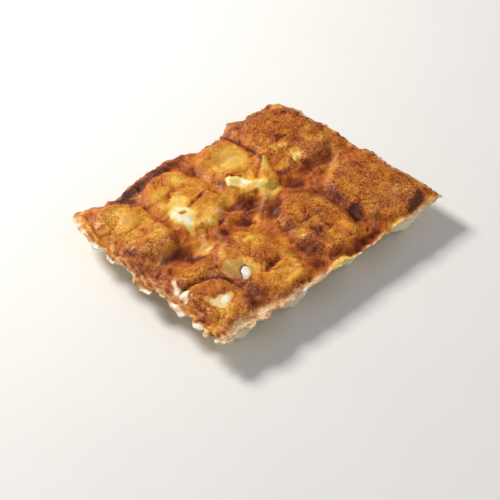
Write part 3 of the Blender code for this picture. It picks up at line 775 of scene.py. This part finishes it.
streaks = waves(crust_x, crust_y / 3.5, 1.7, 86) * bell(edges[0], 11.0)
relief += STREAK_HEIGHT * streaks - THIN_LINE_DEPTH * thin_lines
relief += (RAISED_BORDER - LESS_AT_THE_FAR_EDGE * bell(edges[3], 6.0)) * bell(inward, 3.5)

# %% Blisters and pits at seeded places
BLISTERS = 200
BLISTER_SIZES = (1.1, 2.8)
BLISTER_HEIGHT = 0.32
PITS = 70
PIT_SIZES = (0.8, 1.4)
PIT_DEPTH = 0.30

dice = random.Random(12)


def random_spot(sizes):
    """How rough the crust is at a random point, and all points' distances from it in sizes."""
    at = dice.randrange(len(crust_x))
    return grain[at], np.hypot(crust_x - crust_x[at], crust_y - crust_y[at]) / dice.uniform(*sizes)


blister_tops = np.zeros(len(crust_x))
for _ in range(BLISTERS):
    strength, away = random_spot(BLISTER_SIZES)
    dome = np.sqrt(np.clip(1.0 - away ** 2, 0.0, 1.0))
    blister_tops = np.maximum(blister_tops, dome * strength * dice.uniform(0.4, 1.0))
pit_depths = np.zeros(len(crust_x))
for _ in range(PITS):
    strength, away = random_spot(PIT_SIZES)
    pit_depths = np.maximum(pit_depths, bell(away, 1.0) * strength)
relief += BLISTER_HEIGHT * blister_tops - PIT_DEPTH * pit_depths
print(f"relief from {relief.min():.2f} to {relief.max():.2f} mm, {BLISTERS} blisters and {PITS} pits")

# %% [markdown]
# ## How brown each place is
#
# Browning is one number from 0, raw cream, to 1, nearly burnt. It starts from the tone of the
# jiaozi below, is darker in the valleys and lighter towards the torn border, and then takes the
# named marks. It also carries painted shade in pits, thin creases and along the far border, and
# painted highlights on blister tops. The shader later turns this one number into a colour with a
# ramp. Storing it on the mesh as an attribute keeps colour and relief in step, which separate
# textures would not.

# %% Add up the browning and the painted shade
VALLEY_TONE = 0.57
BORDER_TONE = 0.40
RIM_TONES = np.array((0.09, 0.02, 0.11, 0.05, 0.08, 0.02, 0.09, 0.05))  # round each flat side
RIM_WIDTH = 2.4
BORDER_WIDTH = 9.0
BROWNER_BORDERS = 0.13  # the right and the far border
CLOUDS = ((0.18, 9.0, 31), (0.11, 3.6, 32))
EDGE_PALENESS = 0.30

distances = np.array([outside_flat(jiaozi, crust_x, crust_y) for jiaozi in JIAOZI])
outside = distances.min(0)
flat_tone = by_jiaozi([jiaozi[7] for jiaozi in JIAOZI])
border_tone = BORDER_TONE + BROWNER_BORDERS * bell(np.minimum(edges[1], edges[3]), 8.0)
between_tone = VALLEY_TONE + (border_tone - VALLEY_TONE) * (1.0 - ease(inward / BORDER_WIDTH))
held = 1.0 - ease((outside + 0.5 + 3.0 * wobble) / 3.6)
browning = between_tone + (flat_tone - between_tone) * held + browning_and_shade_marks
browning += bell(outside + 0.6, RIM_WIDTH) * RIM_TONES[distances.argmin(0)]
browning += layered(CLOUDS)
# Painted shade darkens the pits and the thin creases, and a painted highlight lightens the blister tops.
# The streaks vary the tone of the left band's stripes.
browning += 0.12 * pit_depths - 0.05 * blister_tops + 0.26 * thin_lines - 0.50 * streaks
rim_dryness = bell(inward, 1.7) * (0.7 + 0.8 * crust_waves(3.0, 73)) * (1.0 - 0.8 * bell(edges[3], 3.0))
browning -= EDGE_PALENESS * rim_dryness
browning = np.clip(browning, 0.05, 1.0)
print(f"browning {browning.min():.2f} to {browning.max():.2f}, mean {browning.mean():.2f}")

# %% Give the mesh its form and its attributes
TOP_ROOM = 0.05
SIDE_ROOM = 0.70
CURL_HEIGHT = 0.9

top = cad_box[1].z / MM - TOP_ROOM
height = smooth_height(crust_x, crust_y) + folds_height(crust_x, crust_y) + relief
curl = bell(inward, 2.0) * crust_waves(4.0, 41)
height = np.minimum(height + CURL_HEIGHT * curl, top)
points = np.stack((crust_x, crust_y, height), axis=1) + CENTRING
room = np.array((SIDE_ROOM, SIDE_ROOM, TOP_ROOM))
low_corner = np.array(cad_box[0]) / MM + room
high_corner = np.array(cad_box[1]) / MM - room
points = np.clip(points, low_corner, high_corner) * MM
crust_mesh.vertices.foreach_set("co", points.ravel())


def add_object(name, data):
    """Puts a new object in the scene."""
    made = bpy.data.objects.new(name, data)
    bpy.context.scene.collection.objects.link(made)
    return made


def add_attribute(mesh, name, values):
    """Stores one number for each point, which a shader can read by name."""
    layer = mesh.attributes.new(name, "FLOAT", "POINT")
    layer.data.foreach_set("value", np.asarray(values, dtype=np.float32))


marks = {"browning": browning, "pale": pale, "dry": dry, "grey": grey, "grain": grain}
for name, values in marks.items():
    add_attribute(crust_mesh, name, values)
print("crust", (points.min(0) / MM).round(2), "to", (points.max(0) / MM).round(2), "mm")

# %% [markdown]
# ## Holes torn in the crust
#
# Over the sixth jiaozi the crust is one thin beige film. It is torn open only at its low end, where
# a white fold of the wrapper swells into the window. The crust's border has a few lace holes too. A
# hole is cut by deleting the faces in an oval, and the points left round it are then moved exactly
# onto the oval, so that the coarse steps of the grid don't show.

# %% Cut the window and the lace holes
# Holes: what it is, middle, half width and half length, turn in degrees
HOLES = (
    ("window", -37.6, -35.4, 3, 5.2, -36),
    ("lace hole at the waist", -80.6, -11.6, 1.1, 1.5, 20),
    ("lace hole in the froth", -80, 39, 0.9, 1.2, 0),
    ("lace hole by the tatter", -78.8, -54.6, 1, 1.3, -30),
    ("lace hole of the near edge", -41, -64.6, 1.2, 0.8, 0),
    ("lace hole of the right edge", 76.6, 45.2, 0.9, 1.2, 0),
)
SNAP_REACH = 1.6


def cut_holes(mesh, holes):
    """Deletes the faces in each oval and fits the points round it to the oval."""
    shape = bmesh.new()
    shape.from_mesh(mesh)
    to_plan = -Vector(CENTRING)
    for _, mid_x, mid_y, half_width, half_length, turn in holes:
        oval_at = (mid_x, mid_y, half_width, half_length, turn)
        inside = [
            face for face in shape.faces
            if ellipse_radius(*(face.calc_center_median() / MM + to_plan)[:2], *oval_at) < 1.0
        ]
        bmesh.ops.delete(shape, geom=inside, context="FACES")
        middle = Vector((mid_x, mid_y, 0.0)) - to_plan
        for point in shape.verts:
            radius = ellipse_radius(*(point.co / MM + to_plan)[:2], *oval_at)
            if point.is_boundary and 0.0 < radius < SNAP_REACH:
                from_middle = point.co / MM - middle
                wave = 1.0 + 0.05 * noise.noise(point.co / MM / 2.0)
                point.co.x = (middle.x + from_middle.x / radius * wave) * MM
                point.co.y = (middle.y + from_middle.y / radius * wave) * MM
    shape.to_mesh(mesh)
    shape.free()


faces_before = len(crust_mesh.polygons)
cut_holes(crust_mesh, HOLES)
print("faces cut away:", faces_before - len(crust_mesh.polygons))

# %% Thicken the sheet and let it stand for the plain skirt
EDGE_THINNESS = 0.45
THINNED_BORDER = 5.0

crust = add_object("crisp_skirt_fried", crust_mesh)
crust_mesh.shade_smooth()
body = crust.vertex_groups.new(name="thickness")
plan = np.empty(len(crust_mesh.vertices) * 3)
crust_mesh.vertices.foreach_get("co", plan)
plan = plan.reshape(-1, 3) / MM - CENTRING
thickness = ease(edge_distances(plan[:, 0], plan[:, 1]).min(0) / THINNED_BORDER)
window_radius = ellipse_radius(plan[:, 0], plan[:, 1], *HOLES[0][1:])
thickness = np.minimum(thickness, ease((window_radius - 1.0) * 1.6))
for index, weight in enumerate(thickness):
    body.add([index], float(weight), "REPLACE")
shell = crust.modifiers.new("Thickness", "SOLIDIFY")
shell.thickness = SKIRT_THICKNESS * MM
shell.offset = -1.0
shell.vertex_group = "thickness"
shell.thickness_vertex_group = EDGE_THINNESS
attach(crust, "root")
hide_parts("crisp_skirt")
print("crust faces:", len(crust_mesh.polygons), "before it is thickened")

# %% [markdown]
# ## The jiaozi under the crust
#
# Each jiaozi is a thin round of dough folded over its filling and pleated along one side. It is
# fried on its flat side, so here the flat side is up and the pleated crest is below. One could
# model one and copy it. A ball whose points are moved by a formula is as quick, and each jiaozi
# then has its own length, turn and flat side, as its solid has.

# %% Numbers of one jiaozi
BELLY_OUTSIDE_FLAT = 1.6
TOP_SQUARENESS = 0.58
TOP_FLATNESS = 1.7
END_ROUNDING = 0.22
PLEATS = 10
PLEAT_DEPTH = 0.9
CREST_BOW = 5.0
CREST_SWING_BACK = 0.45
CREST_ROCKER = 0.9
CREST_WIGGLE = 0.55
END_WIDTH_BELOW = 0.4
REST_FLAT = 0.9
GAP = 0.6
CONTACT = 0.5
SEGMENTS_ROUND = 120
RINGS_ALONG = 92
SECTION_BLUR = 8.0

# Degrees below the waist, share of the half width, share of the waist's height
LOWER_SECTION = (
    (0, 1.00, 1.00),
    (18, 0.98, 0.78),
    (36, 0.79, 0.55),
    (54, 0.38, 0.41),
    (72, 0.14, 0.04),
    (90, 0.00, 0.00),
)


def ceiling(x, y):
    """The level that the dough reaches, touching the crust from below."""
    steps = (-1.1, 0.0, 1.1)
    level = np.min([smooth_height(x + right, y + up) for right in steps for up in steps], axis=0)
    steps = (-3.0, 0.0, 3.0)
    sunk = np.min([folds_height(x + right, y + up) for right in steps for up in steps], axis=0)
    return level + np.minimum(sunk, 0.0) - SKIRT_THICKNESS - GAP + CONTACT


def lower_section(degrees, column):
    """A share of the section below the waist, smoothed over the section's corners."""
    angles = [row[0] for row in LOWER_SECTION]
    values = [row[column] for row in LOWER_SECTION]
    blur = np.linspace(-SECTION_BLUR, SECTION_BLUR, 9)
    return np.mean([np.interp(degrees + shift, angles, values) for shift in blur], axis=0)


# %% The surface of one jiaozi
def jiaozi_surface(jiaozi, around):
    """Points of one jiaozi in millimetres, and how near each is to the crust, from unit directions."""
    _, mid_x, mid_y, half_width, half_length, turn, _, _ = jiaozi
    latitude = np.arcsin(np.clip(around[:, 1], -1.0, 1.0))
    station = (latitude / (math.pi / 2.0) + around[:, 1]) / 2.0
    width = (1.0 - np.minimum(np.abs(station), 1.0) ** FLAT_ROUNDNESS) ** (1.0 / FLAT_ROUNDNESS)
    half_width = half_width + BELLY_OUTSIDE_FLAT
    half_length = half_length + BELLY_OUTSIDE_FLAT
    angle = np.arctan2(around[:, 2], around[:, 0])
    side = np.copysign(1.0, np.cos(angle))
    below = -np.degrees(np.arcsin(np.sin(angle)))
    rise = np.abs(np.sin(angle)) ** TOP_SQUARENESS
    top_across = half_width * width * side * np.abs(np.cos(angle)) ** TOP_SQUARENESS
    top_share = (1.0 - (1.0 - rise) ** TOP_FLATNESS) * width ** END_ROUNDING
    depth = 1.0 - lower_section(below, 2)
    phase = 2.0 * math.pi * PLEATS * (latitude / math.pi + 0.5)
    pleat = np.cos(phase + 0.7 * np.sin(phase))
    folded = np.sin(math.pi * depth) * ease(2.0 - 2.0 * np.abs(station))
    across = half_width * width ** (1.0 - END_WIDTH_BELOW * depth) * side * lower_section(below, 1)
    across += CREST_BOW * depth ** 2 * (CREST_SWING_BACK - station ** 2)
    across += np.where(side > 0.0, PLEAT_DEPTH, 0.25 * PLEAT_DEPTH) * pleat * folded
    across += CREST_WIGGLE * np.cos(phase) * depth ** 4 * width
    across = np.where(below <= 0.0, top_across, across)
    turn = math.radians(turn)
    length = half_length * station
    x = mid_x + across * math.cos(turn) - length * math.sin(turn)
    y = mid_y + across * math.sin(turn) + length * math.cos(turn)
    up = WAIST_LEVEL + top_share * (ceiling(x, y) - WAIST_LEVEL)
    down = WAIST_LEVEL - depth * width ** CREST_ROCKER * (WAIST_LEVEL + REST_FLAT)
    near_crust = np.where(below <= 0.0, top_share, 0.0)
    return np.stack((x, y, np.where(below <= 0.0, up, down)), axis=1), near_crust


# %% Let the wrapper swell into the window
SWELLING = 2.0
MORE_AT_THE_LEFT = 0.6


def swell(points):
    """Pushes the dough up where the window is, and says how much of it shows there."""
    radius = ellipse_radius(points[:, 0], points[:, 1], *HOLES[0][1:])
    shown = 1.0 - ease((radius - 0.75) / 0.65)
    upper = ease((points[:, 2] - WAIST_LEVEL - 1.0) / 3.0)
    points[:, 2] += (SWELLING + MORE_AT_THE_LEFT * ease((-37.0 - points[:, 0]) / 6.0)) * shown * upper
    return shown * ease((points[:, 2] - 8.0) / 3.0)


# %% Build the eight jiaozi
DENT_SIZE = 6.5
DENT_HEIGHT = 0.35
DENT_WIDTH = 0.30
SCORCH_SIZE = 5.0


def make_wrapper(jiaozi):
    """One jiaozi's dough as its own smooth mesh, with its attributes."""
    name = "wrapper_" + jiaozi[0]
    shape = bmesh.new()
    bmesh.ops.create_uvsphere(shape, u_segments=SEGMENTS_ROUND, v_segments=RINGS_ALONG, radius=1.0)
    mesh = bpy.data.meshes.new(name)
    around = np.array([(point.co.x, point.co.z, -point.co.y) for point in shape.verts])
    points, near_crust = jiaozi_surface(jiaozi, around)
    shown = swell(points) if jiaozi[0] == "near_2" else np.zeros(len(points))
    dents = np.array([noise.noise(Vector(point) / DENT_SIZE) for point in points])
    points[:, 2] += np.where(near_crust > 0.5, 0.0, DENT_HEIGHT * dents)
    points[:, 0] += DENT_WIDTH * dents
    points[:, 2] = np.maximum(points[:, 2], 0.0)
    for point, place in zip(shape.verts, points + CENTRING):
        point.co = place * MM
    bmesh.ops.recalc_face_normals(shape, faces=shape.faces)
    shape.to_mesh(mesh)
    shape.free()
    mesh.shade_smooth()
    moved = Vector((9.0, 0.0, 0.0))
    scorch = np.array([noise.noise(Vector(point) / SCORCH_SIZE + moved) for point in points])
    toasted = ease((near_crust - 0.62) / 0.36) + 0.25 * scorch * near_crust
    add_attribute(mesh, "toasted", np.clip(toasted, 0.0, 1.0))
    add_attribute(mesh, "window", shown)
    made = add_object(name, mesh)
    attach(made, "root")
    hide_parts("jiaozi_" + jiaozi[0])
    return made


wrappers = [make_wrapper(jiaozi) for jiaozi in JIAOZI]
print(len(wrappers), "wrappers of", len(wrappers[0].data.polygons), "faces each")

# %% [markdown]
# ## A small kit for shader maths
#
# A shader is a formula drawn as nodes. Wiring nodes one by one hides the formula, so this class
# wraps a socket and lets Python's own operators add the Math nodes: `1 - mask` or `a * b + c`
# can be written as they are. Colours are mixed by Mix nodes, because Math would turn them grey.

class Value:
    """A number, colour or vector that leaves a node."""

    def __init__(self, finish, socket):
        self.finish = finish
        self.socket = socket

    def math(self, operation, first, second):
        return self.finish.node("ShaderNodeMath", {"operation": operation}, {0: first, 1: second})

    def __add__(self, other):
        return self.math("ADD", self, other)

    def __sub__(self, other):
        return self.math("SUBTRACT", self, other)

    def __rsub__(self, other):
        return self.math("SUBTRACT", other, self)

    def __mul__(self, other):
        return self.math("MULTIPLY", self, other)

    __radd__ = __add__
    __rmul__ = __mul__

    def clamped(self):
        """The value kept between 0 and 1."""
        settings = {"operation": "ADD", "use_clamp": True}
        return self.finish.node("ShaderNodeMath", settings, {0: self, 1: 0.0})

    def step(self, low, high):
        """0 up to low, 1 from high on, and smooth between."""
        settings = {"interpolation_type": "SMOOTHSTEP"}
        limits = {"Value": self, "From Min": low, "From Max": high}
        return self.finish.node("ShaderNodeMapRange", settings, limits)


class Finish:
    """A material under construction, and the one way to add a node to it."""

    def __init__(self, name, **constants):
        self.material = bpy.data.materials.new(name)
        self.material.use_nodes = True
        self.tree = self.material.node_tree
        self.shader = self.tree.nodes["Principled BSDF"]
        for socket, value in constants.items():
            self.shader.inputs[socket.replace("_", " ")].default_value = value

    def node(self, kind, settings=None, inputs=None, output=0):
        """Adds a node, sets it up, then sets or links its sockets, and returns one output."""
        made = self.tree.nodes.new(kind)
        for name, value in (settings or {}).items():
            if name == "stops":
                set_stops(made.color_ramp, value)
            else:
                setattr(made, name, value)
        for name, value in (inputs or {}).items():
            self.feed(made.inputs[name], value)
        return Value(self, made.outputs[output])

    def feed(self, socket, value):
        """Sets a socket to a value, or links it to one."""
        if isinstance(value, Value):
            self.tree.links.new(value.socket, socket)
        elif hasattr(value, "__len__") and len(value) == 3 and len(socket.default_value) == 4:
            socket.default_value = (*value, 1.0)
        else:
            socket.default_value = value

    def attribute(self, name):
        """A number stored on the mesh."""
        return self.node("ShaderNodeAttribute", {"attribute_name": name}, output="Fac")

    def mix(self, share, first, second):
        """The first colour where share is 0 and the second where it is 1."""
        inputs = {0: share, 6: first, 7: second}
        return self.node("ShaderNodeMix", {"data_type": "RGBA"}, inputs, output=2)

    def ramp(self, stops, share):
        """The colour that a ramp of (place, colour) stops has at this share."""
        return self.node("ShaderNodeValToRGB", {"stops": stops}, {"Fac": share})

    def surface(self, name, value):
        """Sets or links a socket of the shader itself."""
        self.feed(self.shader.inputs[name], value)

    def noise(self, place, size, detail=3.0, roughness=0.55):
        """Noise from 0 to 1 with features of about this many millimetres."""
        inputs = {"Vector": place, "Scale": 1.0 / (size * MM), "Detail": detail, "Roughness": roughness}
        return self.node("ShaderNodeTexNoise", None, inputs)


def set_stops(ramp, stops):
    """Fills a colour ramp with (place, colour) stops."""
    ramp.elements[0].position = stops[0][0]
    ramp.elements[1].position = stops[-1][0]
    for place, _ in stops[1:-1]:
        ramp.elements.new(place)
    for element, (_, colour) in zip(ramp.elements, stops):
        element.color = (*colour, 1.0)


def paint(red, green, blue):
    """A colour given from 0 to 255 as on a screen, as the linear values that a shader takes."""
    return tuple(
        (value / 255.0 / 12.92) if value <= 10 else ((value / 255.0 + 0.055) / 1.055) ** 2.4
        for value in (red, green, blue)
    )


print("kit ready; golden is", tuple(round(value, 3) for value in paint(222, 160, 75)))

# %% [markdown]
# ## The finish of the crust
#
# Fried batter is brown in many tones at once: fat-soaked orange and gold where it touched dough,
# floury pinkish brown where it dried, cream at its torn edge. Two ramps turn the browning number
# into these two families, and the mesh's own attributes choose between them. On top come grains
# of about one millimetre, which are what makes it look crisp, and small oily highlights.
# Part of the grains' contrast is painted light: their middles are lighter as painted glints, and their
# gaps are darker as painted shade.

# %% Colours of browning
FRIED = (
    (0.00, paint(250, 228, 150)),
    (0.12, paint(240, 196, 96)),
    (0.25, paint(228, 166, 62)),
    (0.38, paint(214, 140, 46)),
    (0.50, paint(197, 115, 38)),
    (0.62, paint(174, 90, 32)),
    (0.74, paint(144, 65, 26)),
    (0.86, paint(106, 43, 22)),
    (1.00, paint(68, 29, 20)),
)
FLOURY = (
    (0.00, paint(246, 222, 184)),
    (0.25, paint(222, 170, 118)),
    (0.45, paint(195, 133, 86)),
    (0.62, paint(160, 90, 54)),
    (0.78, paint(122, 62, 38)),
    (1.00, paint(80, 38, 26)),
)

DOUGH = (
    (0.00, paint(224, 146, 46)),
    (0.30, paint(234, 178, 66)),
    (0.55, paint(240, 204, 102)),
    (0.80, paint(242, 222, 150)),
    (0.92, paint(246, 232, 190)),
    (1.00, paint(250, 242, 224)),
)
FROTH = (
    (0.00, paint(200, 140, 94)),
    (0.45, paint(228, 186, 140)),
    (0.80, paint(244, 224, 196)),
    (1.00, paint(251, 244, 232)),
)
UNDERSIDE = (
    (0.00, paint(246, 226, 178)),
    (0.50, paint(228, 188, 124)),
    (1.00, paint(188, 124, 66)),
)
OLIVE = paint(180, 132, 66)
CELL_SIZE = 1.0

finish = Finish(
    "fried_crust", Specular_IOR_Level=0.15, IOR=1.45, Coat_Roughness=0.13,
    Subsurface_Weight=0.05, Subsurface_Radius=(1.0, 0.6, 0.3), Subsurface_Scale=0.0015,
)
place = finish.node("ShaderNodeTexCoord", output="Object")
browning, pale, dry, grey, grain = (
    finish.attribute(name) for name in ("browning", "pale", "dry", "grey", "grain")
)
blotch = finish.noise(place, 4.0, detail=4.0, roughness=0.6)
mottle = finish.noise(place, 1.4, roughness=0.6)
speck = finish.noise(place, 0.75, detail=2.0, roughness=0.6)
cell_inputs = {"Vector": place, "Scale": 1.0 / (CELL_SIZE * MM)}
cells = finish.node("ShaderNodeTexVoronoi", {"feature": "F1"}, cell_inputs)
dots = 1.0 - cells.step(0.12, 0.50)
toned = browning + (blotch - 0.5) * 0.10 + (mottle - 0.5) * (0.22 + grain * 0.56)
# Painted glints on the grain cells' middles and painted shade in their gaps.
toned = toned + (speck - 0.47) * (0.20 + grain * 0.92) - grain * (dots - 0.4) * 0.16
fried = finish.ramp(FRIED, toned)
floury = finish.ramp(FLOURY, toned)
colour = finish.mix((dry + (mottle - 0.5) * 0.5 * dry).clamped(), fried, floury)

# %% Pale dough, olive patches and the underside
pale_share = (pale * 1.05 + (mottle - 0.5) * 1.4 * pale * (1.0 - pale)).clamped()
dough_tone = finish.ramp(DOUGH, pale_share + (blotch - 0.5) * 0.2 + (speck - 0.5) * 0.4)
froth_tone = finish.ramp(FROTH, pale_share + (mottle - 0.5) * 0.3)
dough_tone = finish.mix((dry * 1.6).clamped(), dough_tone, froth_tone)
colour = finish.mix(pale_share.step(0.0, 0.60), colour, dough_tone)
colour = finish.mix((grey * (0.45 + mottle * 0.8)).clamped(), colour, OLIVE)
facing = finish.node("ShaderNodeNewGeometry", output="Normal")
upward = finish.node("ShaderNodeSeparateXYZ", None, {0: facing}, output=2)
under = 1.0 - upward.step(-0.35, 0.15)
colour = finish.mix(under, colour, finish.ramp(UNDERSIDE, (toned - 0.1).clamped()))
finish.surface("Base Color", colour)

# %% Gloss and grain of the crust
gloss = finish.noise(place, 6.0)
roughness = 0.46 - 0.16 * gloss.step(0.45, 0.72) + 0.18 * dry + (mottle - 0.5) * 0.20
finish.surface("Roughness", roughness.clamped())
finish.surface("Coat Weight", (0.16 * (1.0 - dry) * gloss.step(0.48, 0.68)).clamped())
grains = grain * (dots * 0.5 + mottle * 0.7 + speck * 0.5) + mottle * 0.3 + speck * 0.2 + blotch * 0.6
bump = finish.node("ShaderNodeBump", None, {"Strength": 0.8, "Distance": 0.0006, "Height": grains})
finish.surface("Normal", bump)
crust_mesh.materials.append(finish.material)
print("crust finish:", len(finish.tree.nodes), "nodes")

# %% [markdown]
# ## The finish of the dough
#
# Steamed dough is creamy white and lets light in a little, which subsurface scattering gives. It
# is golden where it lay against the crust. The fold that swells into the window is bare and wet,
# so it is glossier than the rest. Its white is partly the bare dough and partly a painted highlight.

# %% Dough
dough = Finish(
    "steamed_dough", IOR=1.42,
    Subsurface_Weight=0.30, Subsurface_Radius=(1.0, 0.6, 0.35), Subsurface_Scale=0.0025,
)
place = dough.node("ShaderNodeTexCoord", output="Object")
toasted = dough.attribute("toasted")
window = dough.attribute("window")
soft = dough.noise(place, 9.0)
fine = dough.noise(place, 1.4)
base = dough.mix(soft.step(0.35, 0.70), paint(240, 226, 196), paint(232, 210, 166))
base = dough.mix((fine.step(0.62, 0.78) * 0.25).clamped(), base, paint(222, 196, 142))
toast = (toasted + (fine - 0.5) * 0.6 * toasted).clamped()
base = dough.mix(toast, base, dough.mix(soft, paint(226, 164, 84), paint(196, 122, 58)))
# The bare fold in the window: partly the dough's own white, partly a painted highlight.
bare_white_and_highlight = dough.mix(soft, paint(250, 245, 238), paint(232, 216, 204))
dough.surface("Base Color", dough.mix(window.step(0.10, 0.40), base, bare_white_and_highlight))
dough.surface("Roughness", (0.42 - 0.16 * window + (fine - 0.5) * 0.12).clamped())
dimples = soft * 0.8 + fine * 0.35
bump = dough.node("ShaderNodeBump", None, {"Strength": 0.4, "Distance": 0.0005, "Height": dimples})
dough.surface("Normal", bump)
for wrapper in wrappers:
    wrapper.data.materials.append(dough.material)
print("dough finish:", len(dough.tree.nodes), "nodes")

# %% [markdown]
# ## Floor, light and camera
#
# The food is shown on a plain pale floor. Its relief reads best with one large soft light from
# behind and above, as from a window across the table, because each blister then has a bright far
# side and a dark near side. A weak light by the camera and a pale sky fill the shadows.

# %% Floor
DARK_FLOOR = (0.84, 0.83, 0.81)
LIGHT_FLOOR = (0.88, 0.87, 0.85)

ground = bmesh.new()
bmesh.ops.create_grid(ground, x_segments=1, y_segments=1, size=2.0)
floor_mesh = bpy.data.meshes.new("floor")
ground.to_mesh(floor_mesh)
ground.free()
floor = add_object("floor", floor_mesh)
floor_finish = Finish("pale_floor", Roughness=0.7)
tint = floor_finish.noise(floor_finish.node("ShaderNodeTexCoord", output="Object"), 60.0)
floor_finish.surface("Base Color", floor_finish.mix(tint, DARK_FLOOR, LIGHT_FLOOR))
floor_mesh.materials.append(floor_finish.material)

# %% Lights
# Lights: name, place, size of the square, power, colour
LIGHTS = (
    ("window_light", (-0.15, 0.85, 0.75), 0.32, 14.0, (1.0, 0.97, 0.92)),
    ("fill_light", (0.10, -0.90, 0.70), 0.90, 2.0, (1.0, 0.96, 0.90)),
)
SKY_COLOUR = (0.95, 0.97, 1.0, 1.0)
SKY_STRENGTH = 0.30

middle = Vector((0.0, 0.0, 0.015))
for name, at, size, power, tint in LIGHTS:
    lamp = bpy.data.lights.new(name, "AREA")
    lamp.size = size
    lamp.energy = power
    lamp.color = tint
    light = add_object(name, lamp)
    light.location = at
    light.rotation_mode = "QUATERNION"
    light.rotation_quaternion = (middle - Vector(at)).to_track_quat("-Z", "Y")
world = bpy.data.worlds.new("pale_sky")
world.use_nodes = True
sky = world.node_tree.nodes["Background"].inputs
sky["Color"].default_value = SKY_COLOUR
sky["Strength"].default_value = SKY_STRENGTH
bpy.context.scene.world = world
print(len(LIGHTS), "lights")

# %% Camera at the photograph's angle
CAMERA_AT = (-0.3954, -0.4845, 0.5846)
LOOK_RIGHT = Vector((0.74254011, -0.66757858, -0.05452548))
LOOK_DOWN = Vector((-0.49269051, -0.48923508, -0.71965623))
LOOK_AHEAD = Vector((0.45375131, 0.56123781, -0.69218630))
FOCAL_LENGTH = 107.2
SENSOR_WIDTH = 36.0

lens = bpy.data.cameras.new("camera")
lens.lens = FOCAL_LENGTH
lens.sensor_width = SENSOR_WIDTH
lens.clip_start = 0.05
camera = add_object("camera", lens)
axes = Matrix((LOOK_RIGHT, -LOOK_DOWN, -LOOK_AHEAD)).transposed()
camera.matrix_world = Matrix.Translation(CAMERA_AT) @ axes.to_4x4()
bpy.context.scene.camera = camera
print(f"camera {camera.location.length:.3f} m from the origin")
